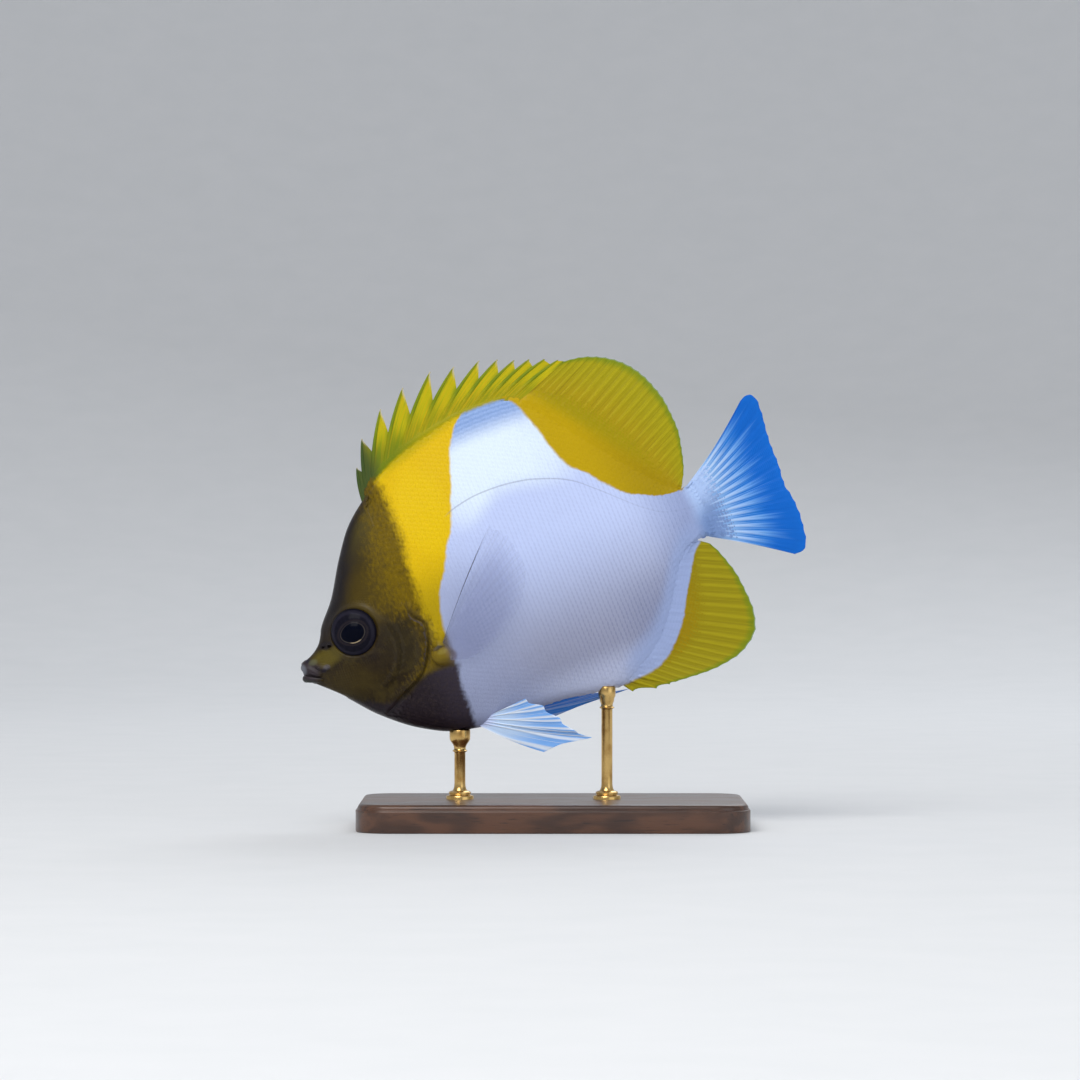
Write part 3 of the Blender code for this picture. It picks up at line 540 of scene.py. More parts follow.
def skin_half(x, z):
    """Half the skin's width at a place in side view, with the head's relief."""
    rim = gill_rim(share_at(x, z))
    before = rim - x
    orbit = np.hypot(x - EYE.x, z - EYE.z) - ORBIT_RADIUS
    cheek = np.hypot(x - CHEEK[0], z - CHEEK[1]) - CHEEK_RADIUS
    behind = ease((x - CHEEK[0]) / 6.0) * ease((CHEEK[1] + 10.0 - z) / 6.0)
    flare = ease(1.0 - before / GILL_FLARE) ** 2
    rolled = GILL_ROLL * ease(1.0 - before / 0.7)
    relief = ORBIT_LIFT * bell(orbit, ORBIT_WIDTH) - ORBIT_DEPTH * ease(-orbit / 2.2)
    relief += CHEEK_LIFT * bell(cheek, CHEEK_WIDTH) * behind
    relief += (GILL_LIFT * flare - rolled) * free_rim(x, z)
    groove = -GILL_GROOVE * ease(1.0 - (-before - 0.3) / 1.3) * free_rim(x, z)
    return flank(x, z) + np.where(before >= -1e-9, relief, groove) - COAT


def to_room(obj):
    """Moves a piece from the fish's own frame, in millimetres, to its pose over the base."""
    obj.data.transform(POSE)
    obj.data.update()


def ball(name, centre, sizes, turn=0.0, lean=0.0, segments=28, rings=16):
    """A ball squashed to three half sizes, leaning in side view, as a shape to fuse."""
    bm = bmesh.new()
    bmesh.ops.create_uvsphere(bm, u_segments=segments, v_segments=rings, radius=1.0)
    pose = Matrix.Translation(centre) @ Matrix.Rotation(turn, 4, "Y")
    pose = pose @ Matrix.Rotation(lean, 4, "Z") @ Matrix.Diagonal((*sizes, 1.0))
    bm.transform(pose @ Matrix.Rotation(math.radians(90.0), 4, "X"))
    obj = piece_of(name, (), ())
    bm.to_mesh(obj.data)
    bm.free()
    return obj


def tube(name, middles, radii, sides):
    """A closed tube of changing radius along points."""
    middles = np.array(middles, float)
    ahead = np.gradient(middles, axis=0)
    across = np.cross((0.0, 0.0, 1.0), ahead)
    across /= np.linalg.norm(across, axis=1)[:, None]
    upward = np.cross(ahead, across)
    upward /= np.linalg.norm(upward, axis=1)[:, None]
    angles = 2.0 * np.pi * np.arange(sides) / sides
    rings = [
        middle + radius * (np.cos(angles)[:, None] * side + np.sin(angles)[:, None] * up)
        for middle, radius, side, up in zip(middles, radii, across, upward)
    ]
    points = np.concatenate(rings)
    return piece_of(name, points, lidded(len(rings), sides, flipped=True))


def fuse(obj, shapes, operation):
    """Joins shapes to a piece or cuts them from it, and takes the shapes away."""
    group = bpy.data.collections.new(obj.name + "_shapes")
    bpy.context.scene.collection.children.link(group)
    for shape in shapes:
        bpy.context.scene.collection.objects.unlink(shape)
        group.objects.link(shape)
    boolean = obj.modifiers.new("fuse", "BOOLEAN")
    boolean.operation = operation
    boolean.operand_type = "COLLECTION"
    boolean.collection = group
    boolean.solver = "EXACT"
    settle(obj, boolean)
    for shape in shapes:
        bpy.data.objects.remove(shape)
    bpy.data.collections.remove(group)


def settle(obj, modifier):
    """Makes what a modifier shows the piece's own mesh, and takes the modifier away."""
    graph = bpy.context.evaluated_depsgraph_get()
    obj.data = bpy.data.meshes.new_from_object(obj.evaluated_get(graph))
    obj.modifiers.remove(modifier)


def faced_out(mesh, weld=0.0):
    """Turns a closed mesh's faces outward, once points nearer than weld are joined."""
    bm = bmesh.new()
    bm.from_mesh(mesh)
    if weld:
        bmesh.ops.remove_doubles(bm, verts=bm.verts, dist=weld)
    bmesh.ops.recalc_face_normals(bm, faces=bm.faces)
    bm.to_mesh(mesh)
    bm.free()


even = np.arange(SKIN_ROWS + 1) / SKIN_ROWS
shares = 0.35 * even + 0.65 * (1.0 - np.cos(np.pi * even)) / 2.0
rim_line = gill_rim(shares)
torso_start = rim_line + RIM_END
columns = [
    SNOUT_END + (rim_line - SNOUT_END) * (k / HEAD_COLUMNS) ** 1.12 for k in range(HEAD_COLUMNS)
]
columns += [rim_line + offset for offset in RIM_COLUMNS]
columns += [
    torso_start + (STEM_END - rim_line - RIM_END) * k / TORSO_COLUMNS
    for k in range(TORSO_COLUMNS + 1)
]
rings = []
for x in columns:
    z = belly(x) + (back(x) - belly(x)) * shares
    half = skin_half(x, z)
    z = z - COAT * (2.0 * shares - 1.0)
    right = np.stack((x, half, z), axis=1)
    left = right[::-1] * (1.0, -1.0, 1.0)
    over = (right[-1] + left[0]) / 2.0 + (0.0, 0.0, CAP_ROUND * half[-1])
    under = (right[0] + left[-1]) / 2.0 - (0.0, 0.0, CAP_ROUND * half[0])
    rings.append(np.concatenate((right, [over], left, [under])))
middle = rings[0].mean(axis=0)
nose = [
    middle + (rings[0] - middle) * math.sqrt(1.0 - share ** 2) - (NOSE_ROUND * share, 0.0, 0.0)
    for share in NOSE_RINGS
]
rings = nose + rings
skin = piece_of("skin", np.concatenate(rings), lidded(len(rings), len(rings[0])))

flesh = []
for run, name in ((UPPER_LIP, "upper_lip"), (LOWER_LIP, "lower_lip")):
    both = [(x, -y, z, radius) for x, y, z, radius in reversed(run[1:])] + list(run)
    line = fair_line(both)(np.linspace(0.0, 1.0, LIP_RINGS))
    flesh.append(tube(name, line[:, :3], line[:, 3], LIP_SIDES))
pits = []
for side in (1.0, -1.0):
    for name, ((x, y, z), sizes, turn, lean) in (("jaw", JAW_PLATE), ("lobe", LOBE)):
        flesh.append(ball(name, (x, side * y, z), sizes, math.radians(turn), side * lean))
    for x, z, radius in NOSTRILS:
        half = float(skin_half(x, z))
        rim = ((x, side * (half - 0.05), z), (radius + 0.32, 0.4, radius + 0.30))
        pit = ((x, side * (half + 0.3), z), (radius, 1.0, radius * 0.85))
        flesh.append(ball("nostril_rim", *rim, **NOSTRIL_BALL))
        pits.append(ball("nostril", *pit, **NOSTRIL_BALL))
fuse(skin, flesh, "UNION")
fuse(skin, pits, "DIFFERENCE")

bm = bmesh.new()
bm.from_mesh(skin.data)
near_mouth = [
    vert for vert in bm.verts
    if MOUTH_ZONE[0] < vert.co.x < MOUTH_ZONE[1] and (abs(vert.co.y) > 0.7 or vert.co.x > 2.4)
]
near_lobe = [
    vert for vert in bm.verts
    if vert.co.x > LOBE_ZONE[0]
    and math.dist((vert.co.x, abs(vert.co.y), vert.co.z), LOBE[0]) < LOBE_ZONE[1]
]
every_way = {"use_axis_x": True, "use_axis_y": True, "use_axis_z": True}
for rounds, verts in ((MOUTH_ROUNDS, near_mouth), (LOBE_ROUNDS, near_lobe)):
    for _ in range(rounds):
        bmesh.ops.smooth_vert(bm, verts=verts, factor=0.45, **every_way)
bm.to_mesh(skin.data)
bm.free()
skin.data.shade_smooth()
to_room(skin)


# Markings shared by skin, scales and the scaly roots of the fins: a brown mask, a
# yellow band, a white pyramid, a yellow rear back and a yellow root of the anal fin,
# with painted shade and painted highlights laid in among them.
MASK_START = (
    (-15.0, 30.0), (-12.0, 33.0), (-9.0, 35.5), (-6.0, 37.6), (0.0, 37.4), (4.0, 34.6),
    (8.0, 31.6), (12.0, 29.6), (20.0, 30.6), (28.0, 33.0), (36.0, 35.0), (44.0, 37.5),
)
BAND_START = (
    (-15.0, 31.0), (-8.0, 38.0), (4.2, 39.2), (10.4, 39.8), (16.7, 40.3), (25.0, 41.4),
    (39.6, 41.4), (46.0, 39.0),
)
WHITE_START = (
    (-16.0, 42.0), (-7.3, 42.6), (-2.0, 43.4), (3.1, 44.5), (7.8, 46.6), (12.5, 49.7),
    (16.7, 51.8), (21.9, 55.4), (29.2, 58.5), (36.5, 61.1), (43.8, 63.8), (49.0, 67.5),
    (52.0, 71.0),
)
REAR_START = (
    (7.8, 120.5), (8.3, 115.8), (10.4, 110.6), (13.0, 105.9), (17.2, 101.8), (22.4, 97.6),
    (26.6, 93.4), (31.3, 91.4), (36.5, 89.8), (42.7, 88.2), (49.0, 85.6), (52.0, 83.0),
)
ANAL_START = (
    (80.0, -38.6), (88.1, -38.1), (93.1, -37.8), (97.5, -36.6), (101.3, -34.1), (105.0, -30.3),
    (108.1, -26.3), (110.6, -21.9), (113.8, -16.9), (116.3, -13.1), (119.0, -9.7), (121.0, -8.0),
)
BREAST_TOP = (
    (8.0, -11.5), (16.0, -15.5), (24.0, -17.8), (30.0, -15.8), (36.0, -13.9), (44.0, -14.2),
)
BREAST_REAR = ((-36.0, 40.6), (-27.0, 41.4), (-20.8, 41.5), (-14.6, 43.2))
FRONT_EDGE = (
    (-3.0, -1.0), (2.5, 1.2), (5.6, 7.3), (10.0, 10.2), (16.0, 15.5), (25.7, 21.8),
    (33.9, 28.1), (38.9, 34.2),
)
LATERAL_LINE = (
    (37.5, 13.0), (42.0, 20.3), (47.0, 23.2), (53.4, 25.4), (60.0, 27.6), (68.0, 28.5),
    (78.3, 27.6), (85.6, 25.5), (91.9, 22.6), (98.0, 17.6), (104.0, 11.8), (110.0, 6.4),
    (115.0, 3.4), (123.0, 1.8),
)
# Over the pectoral fin's lobe: a painted highlight, and a painted shade in the crease above it.
LOBE_HIGHLIGHT_AND_SHADE = (
    ((150, 138, 70), (40.2, -9.6), (1.6, 0.7), (1.6, 0.0), 0.4),
    ((36, 27, 12), (38.9, -8.1), (2.3, 0.55), (1.5, 0.3), 0.9),
)
MASK_DABS = (
    ((92, 80, 24), (8.5, 1.2), (5.5, 3.0), (1.3, 0.1), 0.85),
    ((62, 50, 18), (13.0, -8.5), (10.0, 6.0), (1.4, 0.0), 0.7),
    ((26, 22, 30), (9.6, 4.5), (2.2, 1.3), (1.3, 0.3), 0.8),
    ((36, 26, 20), (23.0, -4.5), (6.0, 4.2), (1.4, 0.1), 0.6),
    ((52, 44, 24), (31.0, -3.0), (6.5, 10.0), (1.4, 0.0), 0.5),
    ((84, 68, 16), (27.0, 13.0), (7.0, 9.0), (1.4, 0.1), 0.6),
)
JAW_DABS = (
    ((120, 124, 134), (0.4, 0.6), (1.3, 1.8), (1.7, 0.0), 0.7),
    ((28, 26, 44), (2.9, 2.3), (0.8, 0.6), (1.7, 0.0), 0.7),
    ((104, 106, 78), (4.2, 1.4), (1.4, 0.9), (1.7, 0.0), 0.5),
    ((92, 88, 96), (7.4, -1.4), (1.1, 0.8), (1.7, 0.0), 0.7),
    ((30, 26, 44), (6.3, -2.0), (0.8, 0.6), (1.7, 0.0), 0.8),
)
FINE_GRAIN = 900.0
BROAD_GRAIN = 260.0
SCALE_ROW = 1.2


def fish_place(finish, here):
    """The place in the fish's own side view, in millimetres, from one in the room."""
    x, _, z = finish.split(here)
    along = x / MM - SNOUT.x
    up = z / MM - SNOUT.z
    cos, sin = math.cos(PITCH), math.sin(PITCH)
    return along * cos + up * sin, up * cos - along * sin


def border(finish, place, points):
    """A drawn line: where it lies across the fish, for a place along it."""
    lows = [min(axis) for axis in zip(*points)]
    spans = [max(axis) - min(axis) for axis in zip(*points)]
    drawn = finish.node("FloatCurve", {}, {"Value": (place - lows[0]) / spans[0]})
    mapping = drawn.socket.node.mapping
    mapping.extend = "HORIZONTAL"
    shares = [
        [(value - low) / span for value, low, span in zip(point, lows, spans)] for point in points
    ]
    curve = mapping.curves[0]
    curve.points[0].location = shares[0]
    curve.points[1].location = shares[-1]
    for share in shares[1:-1]:
        curve.points.new(*share)
    for point in curve.points:
        point.handle_type = "AUTO_CLAMPED"
    mapping.update()
    return drawn * spans[1] + lows[1]


def patch(finish, x, z, centre, sizes, soft=(1.0, 0.25)):
    """An oval patch with a soft edge, 1 at its middle."""
    reach = ((x - centre[0]) / sizes[0]) ** 2.0 + ((z - centre[1]) / sizes[1]) ** 2.0
    return finish.step(reach, *soft)


def dabbed(finish, colour, x, z, dabs):
    """A colour with oval dabs: paint, middle, half sizes, softness and strength of each."""
    for tint, centre, sizes, soft, strength in dabs:
        share = patch(finish, x, z, centre, sizes, soft) * strength
        colour = finish.mix(colour, paint(*tint), share)
    return colour


def before_tail(finish, x, away):
    """0 on the root of the tail, for a height away from its middle."""
    return finish.step(away - (x - 122.0) * 1.3, 7.2, 8.8)


def stem_colour_and_shade(finish, x, z):
    """The blue-white of the tail's root, with a painted shade that darkens it below."""
    lit = finish.step(z - (x - 124.0) * 0.6, -5.0, 5.0)
    return finish.mix(paint(120, 147, 197), paint(174, 198, 240), lit)


def white_and_shade(finish, x, z):
    """The white pyramid, with rows of scales at its top, painted shade low down and under the
    pectoral fin, and a painted pool of light over the lateral line.
    """
    mix, step = finish.mix, finish.step
    over_line = border(finish, x, LATERAL_LINE) - z - step(x, 74.0, 58.0) * 8.0
    painted_light_pool = patch(finish, x, z, (74.0, 34.0), (26.0, 18.0), (1.2, 0.1))
    by_anal = step(z - border(finish, x, BELLY), 8.0, 1.0) * step(x, 82.0, 92.0)
    # Painted shade: darker low down, at the rear underside and where the pectoral fin lies over
    # the white; painted light: the pool above the lateral line.
    white = finish.coats(
        paint(156, 160, 184),
        (196, 209, 246, step(z, -24.0, 12.0)),
        (192, 199, 225, step(z, -25.0, -34.0)),
        (138, 146, 178, step(x, 84.0, 104.0) * step(z, -6.0, -24.0) * 0.7),
        (158, 167, 200, step(x, 70.0, 46.0) * step(z, 24.0, 4.0) * 0.8),
        (226, 240, 254, painted_light_pool * step(over_line, 5.0, -3.0)),
        (138, 152, 194, step(x, 102.0, 123.0) * 0.85),
        (158, 176, 220, by_anal * 0.8),
    )
    row = (z + (x - 76.0) ** 2.0 * 0.006 + x * 0.03) * (2.0 * math.pi / SCALE_ROW)
    rows = finish.maths("SINE", row) * 0.5 + 0.5
    top = mix(paint(128, 158, 211), paint(145, 174, 224), rows)
    white = mix(white, top, step(z, 41.5, 49.0) * 0.95)
    return mix(white, stem_colour_and_shade(finish, x, z), step(x, 120.0, 124.5))


def with_band(finish, colour, x, z):
    """Lays the yellow band before the white, and the olive foot of the dorsal spines."""
    mix, step = finish.mix, finish.step
    band = finish.coats(
        paint(178, 150, 5),
        (224, 185, 3, step(z, 2.0, 20.0)),
        (170, 156, 4, step(z - (x - 40.0) * 0.28, 41.0, 46.0)),
        (232, 196, 6, patch(finish, x, z, (50.0, 30.0), (9.0, 16.0)) * 0.5),
        (88, 73, 14, step(z, -4.0, -9.5)),
    )
    in_band = step(border(finish, z, WHITE_START) - x, -0.5, 0.6) * step(z, -17.0, -15.0)
    foot = finish.coats(
        paint(160, 152, 5),
        (96, 118, 16, step(x, 60.0, 46.0) * 0.8),
        (56, 72, 36, step(x, 44.5, 39.0) * 0.85),
    )
    in_foot = step(z - border(finish, x, BACK), -0.2, 0.9) * step(x, 91.0, 84.0)
    return mix(mix(colour, band, in_band), foot, in_foot)


def with_lobe_and_its_light(finish, colour, x, z):
    """Lays the colours of the pectoral fin's fleshy root, with a painted highlight on it and a
    painted shade in the crease above it.
    """
    lobe = finish.coats(
        paint(122, 101, 14),
        (84, 68, 26, finish.step(z, -10.0, -14.0)),
        (112, 98, 100, finish.step(x, 40.0, 43.2) * 0.8),
    )
    in_lobe = patch(finish, x, z, (39.4, -11.2), (4.7, 3.2), (1.2, 0.6))
    return dabbed(finish, finish.mix(colour, lobe, in_lobe), x, z, LOBE_HIGHLIGHT_AND_SHADE)


def with_rear(finish, colour, x, z):
    """Lays the yellow of the rear back and of the root of the anal fin."""
    mix, step = finish.mix, finish.step
    rear = finish.coats(
        paint(190, 158, 3),
        (164, 138, 4, step(x, 96.0, 116.0)),
        (160, 144, 5, step(z - border(finish, x, BACK), 1.0, 11.0)),
    )
    in_rear = step(x - border(finish, z, REAR_START), -0.5, 0.6) * step(z, 7.0, 8.2)
    colour = mix(colour, rear, in_rear * before_tail(finish, x, z))
    low = mix(paint(158, 130, 3), paint(146, 128, 5), step(x, 105.0, 120.0))
    in_low = step(border(finish, x, ANAL_START) - z, -0.5, 0.6) * step(x, 82.0, 85.0)
    return mix(colour, low, in_low * before_tail(finish, x, 0.0 - z))


def with_olive(finish, colour, x, z, streak, mottle):
    """Lays the streaky olive between the mask and the band, brown below."""
    step = finish.step
    olive = finish.coats(
        paint(112, 90, 3),
        (140, 116, 4, step(x, 38.5, 41.5) * 0.6),
        (86, 70, 8, step(streak, 0.44, 0.70) * 0.55),
        (142, 117, 4, step(streak, 0.46, 0.26) * 0.4),
    )
    in_olive = step(border(finish, z, BAND_START) - x + mottle * 0.5, -2.0, 2.0)
    colour = finish.mix(colour, olive, in_olive * step(z, -16.5, -14.5))
    return finish.coats(colour, (50, 40, 26, step(z, -13.5, -15.5) * step(x, 40.5, 38.0)))


def with_mask(finish, colour, x, z, noises):
    """Lays the brown mask, darkest along the forehead and round the mouth."""
    step = finish.step
    grain, wander, streak, mottle = noises
    inside = x - border(finish, z, FRONT_EDGE)
    mask = finish.coats(
        paint(38, 35, 38),
        (58, 48, 22, step(inside, 1.5, 9.0)),
        (40, 30, 14, step(z, 14.0, 2.0)),
        (74, 60, 14, step(streak, 0.50, 0.32) * step(inside, 3.0, 8.0) * 0.4),
        (86, 76, 34, step(z, 20.0, 34.0) * step(inside, 0.5, 5.0) * 0.7),
        (72, 60, 24, step(wander, 0.45, 0.7) * step(inside, 4.0, 12.0) * 0.6),
    )
    mask = dabbed(finish, mask, x, z, MASK_DABS)
    mask = finish.coats(mask, (66, 54, 20, step(grain, 0.5, 0.8) * 0.3))
    in_mask = step(border(finish, z, MASK_START) - x + mottle * 1.4, -5.0, 5.0)
    return finish.mix(colour, mask, in_mask)


def with_breast(finish, colour, x, z, grain):
    """Lays the dark breast under the gill cover and the pectoral fin."""
    step = finish.step
    breast = finish.coats(
        paint(41, 33, 39),
        (56, 49, 60, step(x, 30.0, 42.0)),
        (62, 52, 50, step(grain, 0.45, 0.8) * 0.6),
    )
    before_rear = border(finish, z, BREAST_REAR) - x + (grain - 0.5) * 1.6
    under_top = border(finish, x, BREAST_TOP) - z
    return finish.mix(colour, breast, step(under_top, -1.0, 1.2) * step(before_rear, -1.0, 1.2))


def markings_light_and_shade(finish, x, z, grain, wander):
    """The fish's colour at a place in side view, with its painted shade and highlights; grain and
    wander are noises of 0 to 1.
    """
    x = x + (wander - 0.5) * 1.3
    z = z + (grain - 0.5) * 0.9
    upright = finish.node("CombineXYZ", {}, {"X": x * 1.3, "Y": z * 0.6})
    streak = finish.noise(upright, 1.0, 4.0)
    mottle = (wander - 0.5) * 7.0 + (streak - 0.5) * 5.0 + (grain - 0.5) * 3.0
    colour = with_band(finish, white_and_shade(finish, x, z), x, z)
    colour = with_lobe_and_its_light(finish, colour, x, z)
    colour = with_rear(finish, colour, x, z)
    colour = with_olive(finish, colour, x, z, streak, mottle)
    colour = with_mask(finish, colour, x, z, (grain, wander, streak, mottle))
    return with_breast(finish, colour, x, z, grain)


def marked_and_shaded(finish):
    """The place in side view, fine and broad noise, and the fish's colour there with its painted
    shade and highlights.
    """
    here = finish.here()
    x, z = fish_place(finish, here)
    fine = finish.noise(here, FINE_GRAIN, 3.0)
    broad = finish.noise(here, BROAD_GRAIN, 2.0)
    return x, z, fine, broad, markings_light_and_shade(finish, x, z, fine, broad)


moist = {"Coat Weight": 0.05, "Coat Roughness": 0.22, "Specular IOR Level": 0.15}
hide = Finish("moist_skin", moist)
x, z, fine, broad, shade = marked_and_shaded(hide)
before_rim = border(hide, z, [(z, x) for x, z in GILL_RIM]) - x
rim_zone = hide.step(z, 9.0, 5.0) * hide.step(z, -17.5, -13.5)
# A pale band along the gill cover's rolled rim, partly the rim's own pale edge and partly a
# painted highlight on it.
edge = hide.step(before_rim, 1.10, 0.80) * hide.step(before_rim, 0.10, 0.40)
edge = edge * hide.step(z, 9.0, 5.0) * hide.step(z, -13.0, -8.0)
# Painted shade in the groove behind the gill cover's free rim, where the skin tucks under it.
crease = hide.step(before_rim, -1.1, -0.5) * hide.step(before_rim, 0.2, -0.1)
jaws = hide.step(x + hide.maths("ABSOLUTE", z + 0.6) * 0.9, 7.6, 4.6)
shade = hide.coats(
    shade,
    (66, 60, 68, edge * 0.55),
    (62, 50, 18, crease * rim_zone * 0.5),
    (52, 44, 50, jaws * 0.9),
    (46, 52, 46, jaws * hide.step(z + x * 0.6, -1.6, -2.8) * 0.8),
)
shade = dabbed(hide, shade, x, z, JAW_DABS)
# A painted shade in the slit of the mouth, between the lips.
mouth = patch(hide, x, z + x * 0.62, (2.6, -0.78), (2.7, 0.34), (1.6, 0.3))
shade = hide.mix(shade, paint(20, 14, 17), mouth * 0.9)
normal = hide.bump(fine * 0.6 + broad * 0.4, 0.00008, 0.35)
hide_material = hide.use(base_color=shade, roughness=0.36 + fine * 0.12, normal=normal)
skin.data.materials.clear()
skin.data.materials.append(hide_material)
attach(skin, "root")
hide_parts("head", "torso", "tail_stem")


# The scales: thin overlapping shields in rows along the body, each rooted in the skin
# with its free rear edge lifted a hair; larger on the flanks, smallest on the head.
SCALE_OUTLINE = (
    (0.00, 0.00), (0.10, 0.30), (0.34, 0.47), (0.62, 0.50), (0.86, 0.34), (0.98, 0.14),
)
SCALE_END = 1.03
SCALE_MIDDLE = 0.55
BODY_COAT = (18.0, STEM_END + 0.8)
BODY_SPACING = 1.42
BODY_SCALE = (1.95, 0.105)
HEAD_COAT = (7.0, 38.2)
HEAD_SPACING = 0.78
HEAD_SCALE = (1.10, 0.055)
ROW_STEP = math.sqrt(0.75)
UNWRAP_LENGTH = 152.0
UNWRAP_GIRTH = 0.0039
BAKE_PATCH = 0.003


def scale_shape():
    """One scale, a unit long: rooted at the origin, growing along x and facing z."""
    half = list(SCALE_OUTLINE[1:])
    far_side = [(x, -y) for x, y in reversed(half)]
    outline = [SCALE_OUTLINE[0], *half, (SCALE_END, 0.0), *far_side]
    points = []
    for share, rise in ((1.0, 0.0), (0.60, 0.16)):
        for x, y in outline:
            x = SCALE_MIDDLE + (x - SCALE_MIDDLE) * share
            points.append((x, y * share, -0.80 + 1.75 * x - 1.2 * (y * share) ** 2 + rise))
    points += [(SCALE_MIDDLE, 0.0, 0.36), (0.50, 0.0, -0.55)]
    count = len(outline)
    faces = []
    for k in range(count):
        after = (k + 1) % count
        faces.append((after, k, count + k))
        faces.append((after, count + k, count + after))
        faces.append((count + after, count + k, 2 * count))
        faces.append((k, after, 2 * count + 1))
    scale = piece_of("one_scale", points, faces)
    rim = scale.data.attributes.new("sharp_edge", "BOOLEAN", "EDGE")
    rim.data.foreach_set("value", [max(edge.vertices) < count for edge in scale.data.edges])
    return scale


def attribute(mesh, name, values, kind="FLOAT_VECTOR"):
    """Writes one value for each point of a mesh."""
    made = mesh.attributes.new(name, kind, "POINT")
    made.data.foreach_set("vector" if kind == "FLOAT_VECTOR" else "value", np.ravel(values))


def around(x, table=160):
    """Heights up the body at one x, and the distance over the skin from its widest line."""
    levels = np.linspace(belly(x), back(x), table)
    halves = skin_half(x + 0.0 * levels, levels)
    run = np.concatenate(([0.0], np.cumsum(np.hypot(np.diff(levels), np.diff(halves)))))
    return levels, run - np.interp(widest(x), levels, run)


def coat_of(start, end, spacing, keep):
    """Roots of scales in staggered rows between two x, where keep says they grow."""
    roots = []
    pitch = spacing * ROW_STEP
    for column in range(int((end - start) / pitch)):
        x = start + column * pitch
        levels, run = around(x)
        first = math.ceil(run[0] / spacing)
        places = np.arange(first, int(run[-1] / spacing) + 1) + 0.5 * (column % 2)
        places = places * spacing
        places = places[places < run[-1] - 0.2]
        z = np.interp(places, run, levels)
        roots.append(np.stack((x + 0.0 * z, z, places), axis=1))
    roots = np.concatenate(roots)
    return roots[keep(roots[:, 0], roots[:, 1])]


def scale_tree(shape, material):
    """Sets a scale on each point by its normal and its lie, and unwraps the coat."""
    tree = bpy.data.node_groups.new("scales", "GeometryNodeTree")
    sockets = tree.interface
    sockets.new_socket("Geometry", in_out="INPUT", socket_type="NodeSocketGeometry")
    for name in ("Scale Length", "Scale Depth", "Patch Size"):
        sockets.new_socket(name, in_out="INPUT", socket_type="NodeSocketFloat")
    sockets.new_socket("Geometry", in_out="OUTPUT", socket_type="NodeSocketGeometry")

    def add(kind, **settings):
        made = tree.nodes.new(kind)
        for name, value in settings.items():
            setattr(made, name, value)
        return made

    def trait(name, kind="FLOAT_VECTOR"):
        made = add("GeometryNodeInputNamedAttribute", data_type=kind)
        made.inputs["Name"].default_value = name
        return made.outputs["Attribute"]

    def vector(operation, first, second):
        made = add("ShaderNodeVectorMath", operation=operation)
        tree.links.new(first, made.inputs[0])
        tree.links.new(second, made.inputs[3 if operation == "SCALE" else 1])
        return made.outputs["Vector"]

    given = add("NodeGroupInput").outputs
    source = add("GeometryNodeObjectInfo", transform_space="ORIGINAL")
    source.inputs["Object"].default_value = shape
    turn = add("FunctionNodeAxesToRotation", primary_axis="Z", secondary_axis="X")
    tree.links.new(trait("outward"), turn.inputs["Primary Axis"])
    tree.links.new(trait("lie"), turn.inputs["Secondary Axis"])
    size = add("ShaderNodeCombineXYZ")
    tree.links.new(given["Scale Length"], size.inputs["X"])
    tree.links.new(given["Scale Length"], size.inputs["Y"])
    tree.links.new(given["Scale Depth"], size.inputs["Z"])
    spread = add("GeometryNodeInstanceOnPoints")
    tree.links.new(given["Geometry"], spread.inputs["Points"])
    tree.links.new(source.outputs["Geometry"], spread.inputs["Instance"])
    tree.links.new(turn.outputs["Rotation"], spread.inputs["Rotation"])
    own_size = vector("SCALE", size.outputs["Vector"], trait("size", "FLOAT"))
    tree.links.new(own_size, spread.inputs["Scale"])
    real = add("GeometryNodeRealizeInstances")
    tree.links.new(spread.outputs["Instances"], real.inputs["Geometry"])
    unwrap = vector("ADD", trait("unwrap"), vector("SCALE", trait("leaf"), given["Patch Size"]))
    store = add("GeometryNodeStoreNamedAttribute", data_type="FLOAT2", domain="CORNER")
    store.inputs["Name"].default_value = "OFBake"
    tree.links.new(real.outputs["Geometry"], store.inputs["Geometry"])
    tree.links.new(unwrap, store.inputs["Value"])
    painted = add("GeometryNodeSetMaterial")
    painted.inputs["Material"].default_value = material
    tree.links.new(store.outputs["Geometry"], painted.inputs["Geometry"])
    tree.links.new(painted.outputs["Geometry"], add("NodeGroupOutput").inputs["Geometry"])
    return tree


def on_skin(side, roots, seed):
    """Where the scales of one flank grow: place, outward, lie, unwrap and size of each."""
    x, z, run = roots.T
    step = 0.15
    half = skin_half(x, z)
    lean_x = (skin_half(x + step, z) - skin_half(x - step, z)) / (2.0 * step)
    lean_z = (skin_half(x, z + step) - skin_half(x, z - step)) / (2.0 * step)
    lean_x, lean_z = np.clip(lean_x, -1.2, 1.2), np.clip(lean_z, -4.0, 4.0)
    draw = np.random.default_rng(seed)
    fan_out = 0.10 * np.clip((z - widest(x)) / 40.0, -1.0, 1.0) + draw.normal(0.0, 0.03, len(x))
    outward = np.stack((-lean_x, side + 0.0 * x, -lean_z), axis=1)
    lie = np.stack((1.0 + 0.0 * x, side * (lean_x + lean_z * fan_out), fan_out), axis=1)
    size = draw.normal(1.0, 0.03, len(x)) * (1.0 - 0.22 * ease((x - 96.0) / 26.0))
    place = np.stack((x, side * half, z), axis=1)
    return place, outward, lie, unwrapped(side, x, run), size


def unwrapped(side, x, run):
    """A place on the unwrap of the skin, from one along the body and one round it."""
    v = 0.25 + 0.5 * (side > 0) + run * UNWRAP_GIRTH
    return np.stack((0.02 + 0.96 * x / UNWRAP_LENGTH, v, 0.0 * x), axis=1)


